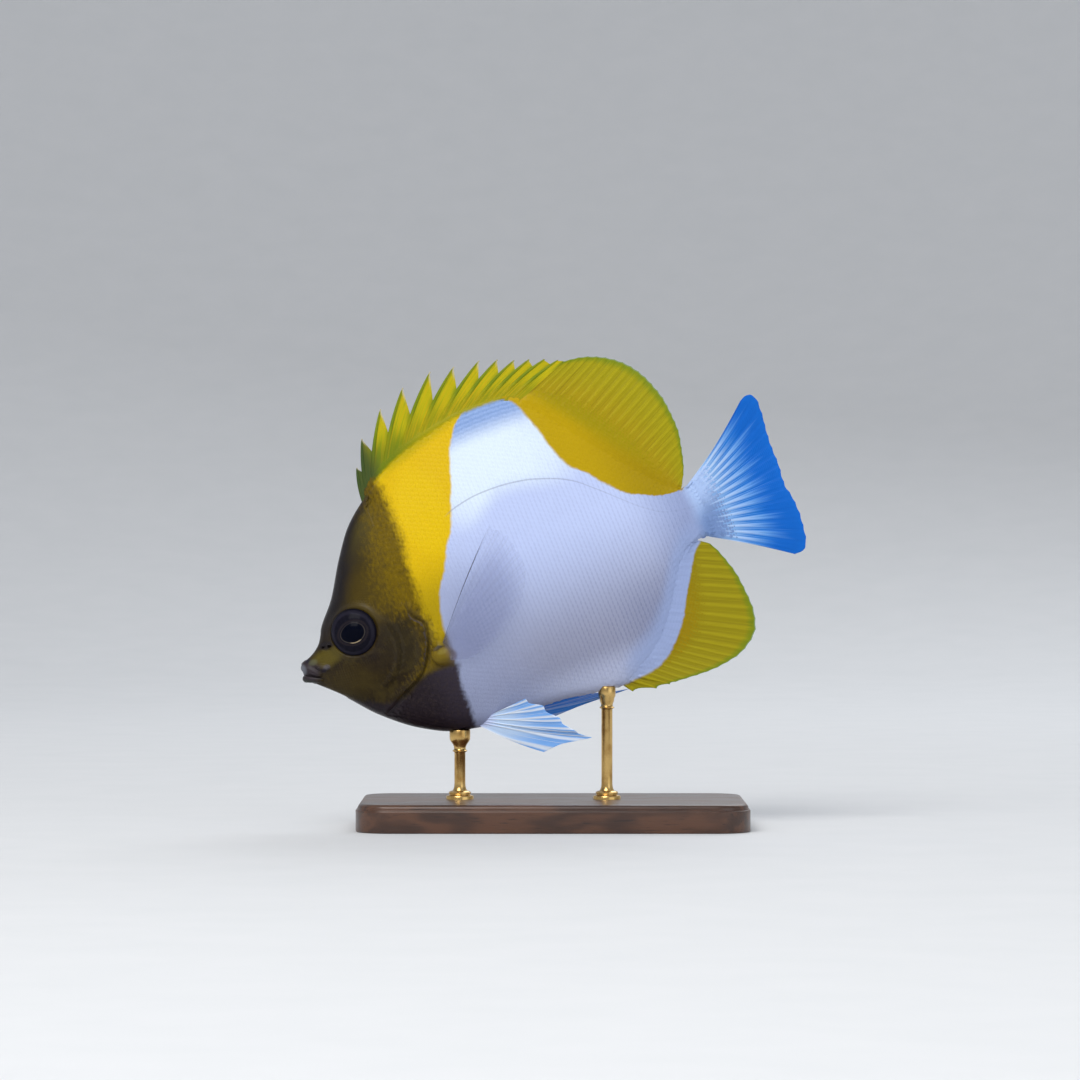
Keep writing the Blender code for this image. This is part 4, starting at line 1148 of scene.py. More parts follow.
def grow_scales(name, slot, grown, length, depth):
    """One piece of scales from the places where they grow."""
    places, outward, lie, unwrap, size = grown
    obj = piece_of(name, places, (), smooth=False)
    for trait, values in (("outward", outward), ("lie", lie), ("unwrap", unwrap)):
        attribute(obj.data, trait, values)
    attribute(obj.data, "size", size, "FLOAT")
    growth = obj.modifiers.new("scales", "NODES")
    growth.node_group = tree
    values = {"Scale Length": length, "Scale Depth": depth, "Patch Size": BAKE_PATCH}
    for item in tree.interface.items_tree:
        if item.name in values:
            growth[item.identifier] = values[item.name]
    settle(obj, growth)
    to_room(obj)
    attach(obj, "root")


shape = scale_shape()
outline = np.array([vert.co for vert in shape.data.vertices])
leaf = np.stack((outline[:, 0] - 0.5, outline[:, 1], 0.0 * outline[:, 0]), axis=1)
attribute(shape.data, "leaf", leaf)

horny = {"Coat Weight": 0.03, "Coat Roughness": 0.20, "Specular IOR Level": 0.10}
shell = Finish("scales", horny)
x, z, fine, broad, shade = marked_and_shaded(shell)
leaf_x, leaf_y, _ = shell.split(shell.trait("leaf"))
# A soft dash of painted shade across the rear of each scale, at its overlapping edge, faint
# everywhere and deepest low on the white flank.
from_bar = ((leaf_x - 0.20) / 0.14) ** 2.0 + (leaf_y / 0.42) ** 2.0
on_flank = shell.step(x, 44.0, 52.0) * shell.step(x, 123.0, 116.0)
on_flank = on_flank * shell.step(z, 44.0, 20.0)
on_flank = on_flank * shell.step(z - border(shell, x, BELLY), 1.0, 6.0)
whiteness = shell.step(shell.split(shade)[2], 0.12, 0.35)
below = shell.step(z, 12.0, -20.0) * shell.step(x, 58.0, 86.0)
edge_shade_depth = on_flank * whiteness * (0.02 + broad * 0.22 + below * 0.20) + 0.06
painted_edge_shade = shell.step(from_bar, 1.5, 0.1) * edge_shade_depth
shade = shell.mix(shade, paint(170, 172, 200), painted_edge_shade, "MULTIPLY")
beside_line = shell.maths("ABSOLUTE", z - border(shell, x, LATERAL_LINE))
line_zone = shell.step(x, 54.5, 58.0) * (shell.step(x, 118.0, 84.0) * 0.7 + 0.3)
on_line = shell.step(beside_line, 0.34, 0.08) * line_zone
shade = shell.mix(shade, paint(112, 118, 150), on_line * 0.42)
growth_rings = shell.maths("SINE", from_bar * 9.0)
normal = shell.bump(growth_rings * 0.5 + fine * 0.5, 0.00001, 0.4)
scale_material = shell.use(base_color=shade, roughness=0.33 + fine * 0.14, normal=normal)
tree = scale_tree(shape, scale_material)


def on_body(x, z):
    """True where body scales grow: clear of the gill cover's rim and of the fin's lobe."""
    free = free_rim(x, z)
    behind = x - gill_rim(share_at(x, z))
    lobe = np.hypot((x - LOBE[0][0]) / 3.6, (z - LOBE[0][2]) / 3.2)
    return (behind > np.where(free > 0.01, 0.45 + 0.75 * free, -0.35)) & (lobe > 1.0)


def on_head(x, z):
    """True where head scales grow: clear of the rim, orbit, nostrils and edges."""
    before = gill_rim(share_at(x, z)) - x
    eye = np.hypot(x - EYE.x, z - EYE.z)
    nostril = np.hypot((x - 9.5) / 1.4, z - 4.1)
    margin = np.minimum(back(x) - z, z - belly(x))
    free = free_rim(x, z)
    at_rim = before > np.where(free > 0.01, 0.3 + 1.0 * free, 0.05)
    return at_rim & (eye > ORBIT_RADIUS + 0.7) & (nostril > 1.3) & (margin > 0.5)


for word, side in SIDES:
    roots = coat_of(*BODY_COAT, BODY_SPACING, on_body)
    grow_scales("scales_body_" + word, "body", on_skin(side, roots, 11), *BODY_SCALE)
    roots = coat_of(*HEAD_COAT, HEAD_SPACING, on_head)
    places, outward, lie, unwrap, size = on_skin(side, roots, 12)
    x, z = places[:, 0], places[:, 2]
    near_eye = ease((np.hypot(x - EYE.x, z - EYE.z) - ORBIT_RADIUS - 0.5) / 3.0)
    size = size * (0.35 + 0.65 * ease((x - 6.0) / 11.0)) * (0.55 + 0.45 * near_eye)
    size = size * (0.5 + 0.5 * ease((back(x) - z) / 2.5))
    grown = (places, outward, lie, unwrap, size)
    grow_scales("scales_head_" + word, "head", grown, *HEAD_SCALE)


# The eyes: glass-smooth balls set in the orbits, each with a blue-black outer ring, a
# fine dull gold ring, bright below, and a domed navy pupil drawn to a point in front.
EYE_RADIUS = 6.9
EYE_DEPTH = 3.4
EYE_TURN = math.radians(13.0)
EYE_RINGS = 56
EYE_SIDES = 96
PUPIL = (3.25, 2.72)
PUPIL_BACK = 0.45
PUPIL_POINT = 0.5
LENS_RISE = 0.32
LENS_GROOVE = 0.10
BEHIND_EYE = 3.0

glass = Finish("eye_glass", {
    "Coat Weight": 0.11, "Coat Roughness": 0.04, "Coat IOR": 1.3,
    "Roughness": 0.4, "Specular IOR Level": 0.02,
})
across, up, ring = glass.split(glass.trait("eye_place"))
from_middle = glass.maths("SQRT", across ** 2.0 + up ** 2.0)
angle = glass.maths("ARCTAN2", up, across)
round_eye = glass.node("CombineXYZ", {}, {"X": angle * 5.0, "Y": from_middle * 0.8})
outer = glass.step(from_middle, 5.2, 5.7) * glass.step(from_middle, 6.6, 6.1)
gold = glass.step(ring, 1.13, 1.06)
beside_middle = glass.maths("ABSOLUTE", across - 0.1)
crescent = gold * glass.step(up, -2.1, -2.7) * glass.step(beside_middle, 2.1, 1.0)
eye_material = glass.use(base_color=glass.coats(
    paint(12, 11, 19),
    (27, 26, 38, glass.noise(round_eye, 1.0, 3.0)),
    (40, 38, 50, outer * 0.7),
    (46, 40, 42, glass.step(ring, 1.46, 1.30) * 0.55),
    (22, 20, 30, glass.step(ring, 1.24, 1.12)),
    (78, 72, 66, gold * (glass.step(up, 3.5, -2.0) * 0.4 + 0.2)),
    (184, 164, 132, crescent),
    (3, 6, 20, glass.step(ring, 1.03, 0.98)),
))
for word, side in SIDES:
    points = []
    traits = []
    for ring in range(EYE_RINGS + 1):
        tilt = math.pi * ring / EYE_RINGS
        radius = EYE_RADIUS * math.sin(tilt)
        out = EYE_DEPTH * math.cos(tilt)
        for k in range(EYE_SIDES):
            turn = 2.0 * math.pi * k / EYE_SIDES
            across, up = radius * math.cos(turn), radius * math.sin(turn)
            iris = BEHIND_EYE
            if out > 0.0:
                reach = PUPIL[0] + (PUPIL_POINT * max(-math.cos(turn), 0.0) ** 3)
                iris = math.hypot((across - PUPIL_BACK) / reach, up / PUPIL[1])
            groove = LENS_GROOVE * float(bell(iris - 1.22, 0.10))
            lens = LENS_RISE * float(ease((1.12 - iris) / 0.5)) - groove
            rise = out + (lens if out > 0.0 else 0.0)
            points.append((across, side * rise, up))
            traits.append((across, up, iris))
    faces = ringed(EYE_RINGS + 1, EYE_SIDES)
    if side > 0.0:
        faces = [face[::-1] for face in faces]
    eye = piece_of("eye_" + word, points, faces, eye_material)
    attribute(eye.data, "eye_place", traits)
    faced_out(eye.data, 0.0001)
    centre = Vector((EYE.x, side * EYE.y, EYE.z))
    eye.data.transform(Matrix.Translation(centre) @ Matrix.Rotation(side * EYE_TURN, 4, "Z"))
    to_room(eye)
    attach(eye, "root")
    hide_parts("eye_" + word)


# The dorsal fin: twelve stout spines, each joined to the next by a web that is cut
# down steeply behind its tip, and twenty-four branched soft rays in a scaly web.
SPINES = 12
SPINE_BASES = smooth(((1, 35.2), (3, 39.3), (5, 50.0), (8, 68.0), (12, 85.0)))
SPINE_TIPS = (
    (36.8, 48.7), (41.3, 55.9), (49.5, 61.8), (57.8, 65.1), (66.8, 66.4), (73.7, 65.2),
    (81.1, 64.1), (86.1, 62.4), (90.5, 60.4), (94.6, 59.0), (98.7, 57.4), (102.2, 55.7),
)
SPINE_WEBS = (0.36, 0.41, 0.41, 0.44, 0.49, 0.53, 0.61, 0.69, 0.73, 0.79, 0.87)
SPINE_BOW = 0.035
WEB_REACH = 0.985
SHEATH_REACH = 0.26
SHEATH_END = 12.4
SOFT_BASE = (86.25, 121.0)
SOFT_MARGIN = (
    (102.95, 54.95), (108.0, 54.3), (113.2, 52.5), (118.3, 49.2), (122.0, 45.0), (124.6, 39.8),
    (126.5, 32.6), (126.9, 25.0), (125.7, 18.4), (124.1, 13.0), (122.1, 9.3),
)
SOFT_RAYS = 24
SPINE_HALF = (0.11, 0.50)
SPINE_WIDE = (0.17, 0.58)
FIRST_ROW = 0.4
FIN_SCALE = (1.4, 0.04)
SWAY = 1.0
ACROSS = np.array((0.0, 1.0, 0.0))


class Sheets:
    """Closed thin sheets gathered into one piece, each point with its place on its ray."""

    def __init__(self):
        self.points = []
        self.faces = []
        self.traits = []

    def sheet(self, middles, halves, traits, face):
        """One sheet from a grid of middles, with its half thickness at each."""
        columns, rows = halves.shape
        start = len(self.points)
        count = columns * rows
        for sign in (1.0, -1.0):
            places = middles + sign * halves[..., None] * face
            self.points += [tuple(place) for place in places.reshape(-1, 3)]
            self.traits += [tuple(trait) for trait in traits.reshape(-1, 3)]
        for column in range(columns - 1):
            for row in range(rows - 1):
                first = start + column * rows + row
                corners = (first, first + rows, first + rows + 1, first + 1)
                self.faces.append(corners[::-1])
                self.faces.append(tuple(corner + count for corner in corners))
        edge = list(range(rows))
        edge += [column * rows + rows - 1 for column in range(1, columns)]
        edge += [(columns - 1) * rows + row for row in range(rows - 2, -1, -1)]
        edge += [column * rows for column in range(columns - 2, 0, -1)]
        edge = [start + place for place in edge]
        for first, after in zip(edge, edge[1:] + edge[:1]):
            self.faces.append((after, first, count + first, count + after))

    def spike(self, middles, halves, wides, traits, sides=12):
        """A tapered spine along points, oval, with a blunt tip."""
        self.faces += lidded(len(middles), sides, len(self.points), flipped=True)
        ahead = np.gradient(middles, axis=0)
        ahead /= np.linalg.norm(ahead, axis=1)[:, None]
        along = np.cross(ahead, ACROSS)
        for middle, half, wide, side, trait in zip(middles, halves, wides, along, traits):
            for k in range(sides):
                angle = 2.0 * math.pi * k / sides
                place = middle + half * math.cos(angle) * ACROSS + wide * math.sin(angle) * side
                self.points.append(tuple(place))
                self.traits.append(tuple(trait))

    def piece(self, name, material, nodes):
        """The finished piece in its pose, in place of the solids' nodes."""
        obj = piece_of(name, self.points, self.faces, material)
        attribute(obj.data, "ray", self.traits)
        faced_out(obj.data)
        to_room(obj)
        obj.data.set_sharp_from_angle(angle=math.radians(70.0))
        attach(obj, "root")
        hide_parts(*nodes)


def branched(phase, height, first=0.38, second=0.68):
    """How much of a ray there is beside its line: one rib that forks, then forks again."""
    fork = 0.17 * ease((height - first) / 0.45)
    twig = 0.085 * ease((height - second) / 0.30)
    ribs = 0.0
    for one in (-fork, fork):
        for two in (-twig, twig):
            ribs = np.maximum(ribs, bell(phase - one - two, 0.085 + 0.05 * (1.0 - height)))
    return ribs


def rayed(sheets, rays, root, tip, rows=40, per_ray=12, web=0.16, rib=0.16, body=None,
          bow=None, sway=0.0, face=ACROSS, scallop=0.22, forks=(0.38, 0.68)):
    """A web with branched rays as ribs, between a root line and a margin line.

    body gives what the scaly root adds to the thickness and bow how a ray bends.
    """
    columns = (rays - 1) * per_ray + 1
    share = np.arange(columns) / (columns - 1)
    place = share * (rays - 1)
    phase = place - np.round(place)
    starts = root(share)
    runs = tip(share) - starts
    notch = scallop * np.abs(np.sin(math.pi * place)) / np.linalg.norm(runs, axis=1)
    heights = np.linspace(0.0, 1.0, rows + 1) ** 0.92
    h = heights[None, :] + 0.0 * share[:, None]
    p = phase[:, None] + 0.0 * h
    s = share[:, None] + 0.0 * h
    middles = starts[:, None, :] + runs[:, None, :] * (h * (1.0 - notch[:, None]))[..., None]
    wave = sway * h ** 2 * np.sin(2.0 * math.pi * share)[:, None]
    middles = middles + wave[..., None] * face
    if bow:
        middles = middles + bow(share)[:, None, :] * np.sin(math.pi * h)[..., None]
    taper = (1.0 - h) ** 1.2
    ribs = branched(p, h, *forks)
    halves = web * (0.55 + 0.45 * taper) + rib * (0.35 + 0.65 * taper) * ribs
    if body:
        halves = np.maximum(halves, body(s, h) + 0.05 * ribs)
    halves = halves * np.where(h > 0.995, 0.5, 1.0)
    sheets.sheet(middles, halves, np.stack((p, h, s), axis=-1), face)
    return middles, halves


def between(grid, columns, rows):
    """Values of a grid at places between its points."""
    i = np.clip(columns.astype(int), 0, grid.shape[0] - 2)
    j = np.clip(rows.astype(int), 0, grid.shape[1] - 2)
    u, v = (columns - i)[:, None], (rows - j)[:, None]
    low = grid[i, j] * (1.0 - u) + grid[i + 1, j] * u
    high = grid[i, j + 1] * (1.0 - u) + grid[i + 1, j + 1] * u
    return low * (1.0 - v) + high * v


def clothe(name, slot, cloth, reach, spacing, run_at, seed, limit=0.45):
    """Scales over both sides of a fin's foot, smaller and fewer towards its bare rays.

    They end at reach, or at the limit, a share of a ray's length; run_at gives the
    distance round the skin at which each lies on the unwrap.
    """
    middles, halves = cloth
    climb = np.cumsum(np.linalg.norm(np.diff(middles, axis=1), axis=2), axis=1)
    climb = np.concatenate((0.0 * climb[:, :1], climb), axis=1)
    every_column, every_row = (np.arange(count) for count in climb.shape)
    draw = np.random.default_rng(seed)
    for word, side in SIDES:
        surface = middles + side * halves[..., None] * ACROSS
        lie = np.gradient(surface, axis=1)
        outward = side * np.cross(lie, np.gradient(surface, axis=0))
        outward *= np.sign(side * outward[..., 1:2])
        grown = []
        for row in range(int(reach / (spacing * ROW_STEP))):
            distance = FIRST_ROW + row * spacing * ROW_STEP
            heights = np.array([np.interp(distance, line, every_row) for line in climb])
            line = between(surface, every_column, heights)
            run = np.cumsum(np.linalg.norm(np.diff(line, axis=0), axis=1))
            run = np.concatenate(([0.0], run))
            places = np.arange(0.8 + 0.5 * (row % 2), run[-1] / spacing - 0.8) * spacing
            columns = np.interp(places, run, every_column)
            ray_length = np.interp(columns, every_column, climb[:, -1])
            share = distance / np.minimum(reach, limit * ray_length)
            columns, share = columns[share < 1.0], share[share < 1.0]
            levels = np.interp(columns, every_column, heights)
            place = between(surface, columns, levels)
            size = (1.0 - 0.35 * share) * (1.0 - 0.65 * ease((share - 0.65) / 0.35))
            grown.append((
                place, between(outward, columns, levels), between(lie, columns, levels),
                unwrapped(side, place[:, 0], run_at(place, distance)),
                size * draw.normal(1.0, 0.04, len(place)),
            ))
        grown = [np.concatenate(values) for values in zip(*grown)]
        grow_scales(name + "_" + word, slot, grown, spacing * FIN_SCALE[0], FIN_SCALE[1])


def beyond_edge(sign):
    """The distance round the skin to a scale beyond the back's or the belly's edge."""
    stations = np.linspace(10.0, STEM_END, 60)
    edges = [around(x)[1][-1 if sign > 0.0 else 0] for x in stations]
    return lambda place, distance: np.interp(place[:, 0], stations, edges) + sign * distance


def off_line(line, x, sink):
    """A place on the outline of the back or belly, sunk into the flesh."""
    lean = slope(line, x)
    length = np.hypot(1.0, lean)
    x_out, z_out = -lean / length * sink, sink / length
    return np.stack((x + x_out, 0.0 * x, line(x) + z_out), axis=-1)


def spine_line(number, heights):
    """Points up a spine, which bows forwards."""
    base = off_line(back, np.array(SPINE_BASES(number), float), 0.0)
    x, z = (np.interp(number, range(1, SPINES + 1), axis) for axis in zip(*SPINE_TIPS))
    run = np.array((x, 0.0, z)) - base
    ahead = np.array((-run[2], 0.0, run[0])) / np.linalg.norm(run)
    bow = SPINE_BOW * np.linalg.norm(run) * 4.0 * heights * (1.0 - heights)
    line = base + run * heights[:, None] + ahead * bow[:, None]
    wave = 0.4 * SWAY * math.sin(math.pi * number / 3.0)
    line[:, 1] = wave * np.clip(heights, 0.0, 1.0) ** 2
    return line


def soft_root(share):
    """The line in the flesh from which the soft rays grow."""
    return off_line(back, SOFT_BASE[0] + share * (SOFT_BASE[1] - SOFT_BASE[0]), -1.0)


def scaly_root(share, h):
    """The thick scaly foot of a fin, thinning out from the body's edge."""
    thick = 0.95 * (1.0 - ease(h / 0.42)) * ease((share + 0.02) / 0.04)
    return thick + 0.20 * (1.0 - h)


def ray_place(finish, stretch, detail):
    """A place on a fin as phase, height and share, and streaks that run along the rays."""
    place = finish.split(finish.trait("ray"))
    scaled = {axis: tone * scale for axis, tone, scale in zip("XYZ", place, stretch)}
    return (*place, finish.noise(finish.node("CombineXYZ", {}, scaled), 1.0, detail))


def forked_rib(finish, phase, height, opening, fork, edge):
    """1 on the line of a ray, which forks while the height opens it."""
    spread = finish.step(height, *opening) * fork
    beside = finish.maths("ABSOLUTE", finish.maths("ABSOLUTE", phase) - spread)
    return finish.step(beside, *edge)


soft_margin = fair_line(SOFT_MARGIN)
dorsal = Sheets()
heights = np.linspace(-0.12, 1.0, 30)
inside = np.clip(heights, 0.0, 1.0)
taper = (1.0 - inside) ** 0.6
steps = np.stack((0.0 * heights, inside, 0.0 * heights - 1.0), axis=-1)
half = SPINE_HALF[0] + SPINE_HALF[1] * taper
wide = SPINE_WIDE[0] + SPINE_WIDE[1] * taper
for number in range(1, SPINES + 1):
    dorsal.spike(spine_line(number, heights), half, wide, steps)
s = np.linspace(0.0, 1.0, 15)
t = np.linspace(-0.10, 1.0, 26)
h = np.clip(t, 0.0, 1.0)[None, :] + 0.0 * s[:, None]
p = s[:, None] + 0.0 * h
crease = 0.05 * np.sin(p * math.pi * 5.0) ** 2
halves = 0.13 + 0.55 * (1.0 - h) ** 3 + crease * (1.0 - h)
for number in range(1, SPINES + 1):
    if number < SPINES:
        after = spine_line(number + 1, t * SPINE_WEBS[number - 1])
    else:
        start = off_line(back, np.array(SOFT_BASE[0] + 0.5), -0.3)
        after = start + (soft_margin(0.012) - start) * t[:, None]
    before = spine_line(number, t * WEB_REACH)
    middles = before * (1.0 - s[:, None, None]) + after * s[:, None, None]
    traits = np.stack((p, h, 0.0 * p - number / SPINES), axis=-1)
    dorsal.sheet(middles, halves, traits, ACROSS)
soft_cloth = rayed(
    dorsal, SOFT_RAYS, soft_root, soft_margin, rows=48, body=scaly_root, sway=SWAY
)
heights = np.linspace(0.0, 1.0, 24)
numbers = np.linspace(1.0, SHEATH_END, 180)
climbs = -0.05 + (SHEATH_REACH + 0.05) * heights
middles = np.array([spine_line(number, climbs) for number in numbers])
ends = ease((numbers - 0.6) / 1.2) * ease((SHEATH_END - numbers) / 1.4)
halves = 0.04 + 1.0 * (1.0 - ease(heights))[None, :] * ends[:, None]
flat = 0.0 * halves
traits = np.stack((0.5 + flat, 0.30 * heights + flat, flat - 0.5), axis=-1)
dorsal.sheet(middles, halves, traits, ACROSS)
sheath_cloth = (middles, halves)

satin = {"Coat Weight": 0.03, "Coat Roughness": 0.3, "Specular IOR Level": 0.15}
fin = Finish("yellow_fins", satin)
x, z, fine, broad, flesh_colour = marked_and_shaded(fin)
phase, height, share, streaks = ray_place(fin, (9.0, 1.2, 60.0), 3.0)
bone = fin.step(fin.maths("ABSOLUTE", phase), 0.30, 0.05)
pale_edge = fin.step(height, 0.95, 0.985) * fin.step(phase, 0.6, 0.05)
soft = fin.coats(
    paint(168, 142, 3),
    (158, 148, 5, fin.step(height, 0.25, 0.9)),
    # A painted shade: the soft rays darken below the fish's middle, on the anal fin.
    (142, 130, 5, fin.step(z, 0.0, -8.0) * 0.8),
    (128, 112, 4, fin.step(streaks, 0.45, 0.75) * 0.55),
    (190, 176, 22, bone * fin.step(height, 0.25, 0.5) * 0.32),
    (104, 130, 14, fin.step(height + (streaks - 0.5) * 0.1, 0.88, 0.98) * 0.7),
    (134, 160, 130, fin.step(height, 0.982, 0.997) * 0.7),
)
spiny = fin.coats(
    paint(150, 146, 4),
    (184, 174, 6, fin.step(height, 0.25, 0.7)),
    (204, 164, 6, fin.step(streaks, 0.42, 0.66) * 0.55),
    (122, 136, 8, fin.step(streaks, 0.46, 0.30) * 0.5),
    (84, 118, 14, fin.step(phase, 0.20, 0.0) * fin.step(height, 0.30, 0.55) * 0.7),
    (84, 124, 20, fin.step(phase, 0.55, 0.95) * fin.step(height, 0.65, 0.95) * 0.6),
    (84, 112, 14, fin.step(x, 60.0, 46.0) * fin.step(z, 57.0, 49.0) * 0.6),
    (54, 72, 36, fin.step(x, 45.5, 39.5) * 0.88),
    (206, 194, 170, pale_edge * fin.step(x, 100.0, 76.0) * 0.7),
)
fin_colour = fin.mix(soft, spiny, fin.step(share, 0.0, -0.01))
root_zone = fin.step(height, 0.42, 0.12) * fin.step(share, -0.01, 0.0)
white_zone = fin.step(border(fin, x, ANAL_START) - z, 0.7, -0.7) * fin.step(z, 0.0, -4.0)
shade = fin.mix(fin_colour, flesh_colour, fin.maths("MAXIMUM", root_zone, white_zone))
segments = fin.maths("SINE", height * 240.0) * bone * fin.step(height, 0.3, 0.5)
normal = fin.bump(streaks * 0.6 + segments * 0.25 + fine * 0.3, 0.00006, 0.5)
fin_material = fin.use(base_color=shade, roughness=0.42 + fine * 0.12, normal=normal)
dorsal.piece("dorsal_fin", fin_material, ("dorsal_fin_spiny", "dorsal_fin_soft"))
over_back = beyond_edge(1.0)
clothe(
    "scales_dorsal", "yellow_fins", soft_cloth,
    reach=16.0, spacing=1.05, run_at=over_back, seed=21,
)
clothe(
    "scales_sheath", "yellow_fins", sheath_cloth,
    reach=6.5, spacing=0.95, run_at=over_back, seed=22, limit=0.8,
)


# The anal fin: three short stout spines with notched webs, then twenty branched soft
# rays, its foot clothed in small scales that carry the body's white over it.
ANAL_BASE = (84.6, 118.6)
ANAL_SPINES = ((86.6, -40.9), (93.2, -42.6), (97.2, -42.9))
ANAL_MARGIN = (
    (99.0, -43.0), (110.0, -43.7), (117.5, -42.9), (123.1, -40.4), (126.4, -36.9), (127.8, -30.6),
    (127.3, -22.3), (125.6, -15.4), (123.2, -9.9), (120.6, -7.8),
)
ANAL_RAYS = 20
ANAL_NOTCH = 0.9
NOTCH_SHARES = (1.0, 0.75, 0.3)
ANAL_STOUT = 0.62

anal = Sheets()
anal_margin = fair_line(ANAL_MARGIN)
anal_count = ANAL_RAYS + len(ANAL_SPINES)
spine_share = len(ANAL_SPINES) / (anal_count - 1)
spine_tips = np.array([(x, 0.0, z) for x, z in (*ANAL_SPINES, ANAL_MARGIN[0])])


def anal_root(share):
    """The line in the flesh from which the anal fin's rays grow."""
    return off_line(belly, ANAL_BASE[0] + share * (ANAL_BASE[1] - ANAL_BASE[0]), 1.0)


def anal_tip(share):
    """The margin of the rays, and before it that of the webs behind the spines."""
    place = np.clip(share / spine_share, 0.0, 1.0) * len(ANAL_SPINES)
    i = np.clip(place.astype(int), 0, len(ANAL_SPINES) - 1)
    t = (place - i)[:, None]
    spiny = spine_tips[i] * (1.0 - t) + spine_tips[i + 1] * t
    depth = ANAL_NOTCH * np.sin(math.pi * t[:, 0]) ** 0.8 * np.array(NOTCH_SHARES)[i]
    to_root = anal_root(share) - spiny
    to_root /= np.linalg.norm(to_root, axis=1)[:, None]
    spiny = spiny + to_root * depth[:, None]
    soft = anal_margin(np.clip((share - spine_share) / (1.0 - spine_share), 0.0, 1.0))
    return np.where((share < spine_share)[:, None], spiny, soft)


anal_cloth = rayed(
    anal, anal_count, anal_root, anal_tip, rows=44, body=scaly_root, sway=-SWAY
)
heights = np.linspace(0.0, 1.0, 26)
taper = (1.0 - heights) ** 0.7
for number, tip in enumerate(spine_tips[:-1]):
    share = np.array([number / (anal_count - 1)])
    start = anal_root(share)[0]
    line = start + (tip - start) * heights[:, None]
    line[:, 1] += -SWAY * heights ** 2 * math.sin(2.0 * math.pi * share[0])
    steps = np.stack((0.0 * heights, heights, 0.0 * heights + share[0]), axis=-1)
    anal.spike(line, 0.12 + ANAL_STOUT * taper, 0.14 + ANAL_STOUT * taper, steps)
anal.piece("anal_fin", fin_material, ("anal_fin",))
clothe(
    "scales_anal", "yellow_fins", anal_cloth,
    reach=13.0, spacing=1.05, run_at=beyond_edge(-1.0), seed=23,
)


# The tail fin: seventeen branched rays that open from a scaly white foot, white ribs
# running out over a clear web, cut in a shallow hollow behind between rounded corners;
# the blue over web and rays is painted light, the water's blue shining through.
TAIL_MARGIN = (
    (146.6, 25.2), (148.7, 26.1), (150.5, 25.4), (151.3, 23.4), (151.1, 19.0), (150.5, 14.5),
    (150.1, 9.0), (150.1, 4.4), (149.6, 0.0), (149.5, -2.2), (150.2, -6.2), (150.4, -10.6),
    (150.0, -14.8), (149.4, -18.5), (148.3, -20.9), (146.5, -21.9), (144.6, -21.7),
)
TAIL_ROOT = (8.6, -7.8)
TAIL_RAYS = 17
TAIL_BOW = (-0.9, 0.4)

tail = Sheets()
tail_margin = fair_line(TAIL_MARGIN)


def upward(lean):
    """A move straight up, or down where it is below 0."""
    return np.stack((0.0 * lean, 0.0 * lean, lean), axis=-1)


def tail_level(share):
    """How high the tail's root lies at a share of the way from its top to its bottom."""
    return TAIL_ROOT[0] + (TAIL_ROOT[1] - TAIL_ROOT[0]) * share


def tail_root(share):
    """The line in the body's end from which the tail's rays grow."""
    return np.stack((STEM_END - 1.0 + 0.0 * share, 0.0 * share, tail_level(share)), axis=-1)


def tail_foot(share, h):
    """The scaly foot of the tail, as thick as the body's end, thinning to the web."""
    stem = flank(STEM_END + 0.0 * share, tail_level(share)) - COAT - 0.02
    return stem * (1.0 - ease((h - 0.03) / 0.34)) + 0.22 * ease(h / 0.3) * (1.0 - h)


def tail_bow(share):
    """How far the outer rays bend up or down at their middle."""
    return upward(TAIL_BOW[0] * (1.0 - share) ** 3 + TAIL_BOW[1] * share ** 3)


tail_cloth = rayed(
    tail, TAIL_RAYS, tail_root, tail_margin, rows=60, per_ray=14, rib=0.20,
    body=tail_foot, bow=tail_bow, sway=SWAY, scallop=0.25, forks=(0.22, 0.52),
)
blue = Finish("tail_fin", satin)
here = blue.here()
x, z = fish_place(blue, here)
fine = blue.noise(here, FINE_GRAIN, 3.0)
phase, height, share, streaks = ray_place(blue, (7.0, 1.6, 70.0), 4.0)
rib = forked_rib(blue, phase, height, (0.20, 0.75), 0.16, (0.30, 0.04))
one_ray = blue.node("CombineXYZ", {}, {"X": (share * (TAIL_RAYS - 1.0) - phase) * 0.77})
own = blue.noise(one_ray, 1.0, 0.0)
# The blue of the web, the outer rays and the margin is painted light: the water's blue seen
# through a fin that is white.
web = blue.coats(
    paint(128, 172, 224),
    (34, 118, 204, blue.step(height + (streaks - 0.5) * 0.3, 0.22, 0.52)),
    (2, 98, 196, blue.step(height, 0.48, 0.74)),
)
ray = blue.coats(
    paint(182, 208, 244),
    (112, 170, 234, blue.step(height, 0.30, 0.70)),
    (206, 226, 250, blue.step(share, 0.45, 0.10) * blue.step(height, 0.60, 0.25) * 0.7),
)
out = blue.step(height + (streaks - 0.5) * 0.4 + (own - 0.5) * 0.6, 0.82, 0.42)
shade = blue.mix(web, ray, rib * out * 0.82)
foot = blue.step(height + (streaks - 0.5) * 0.22, 0.30, 0.06)
shade = blue.mix(shade, stem_colour_and_shade(blue, x, z), foot)
shade = blue.mix(shade, paint(6, 106, 206), blue.step(height, 0.9, 1.0) * 0.5)
segments = blue.maths("SINE", height * 300.0) * rib * blue.step(height, 0.25, 0.4)
normal = blue.bump(streaks * 0.6 + segments * 0.2 + fine * 0.3, 0.00006, 0.5)
tail_material = blue.use(base_color=shade, roughness=0.40 + fine * 0.12, normal=normal)
tail.piece("tail_fin", tail_material, ("caudal_fin",))
clothe(
    "scales_tail", "tail_fin", tail_cloth,
    reach=9.0, spacing=1.10, run_at=lambda place, distance: place[:, 2], seed=24,
)
bpy.data.objects.remove(shape)


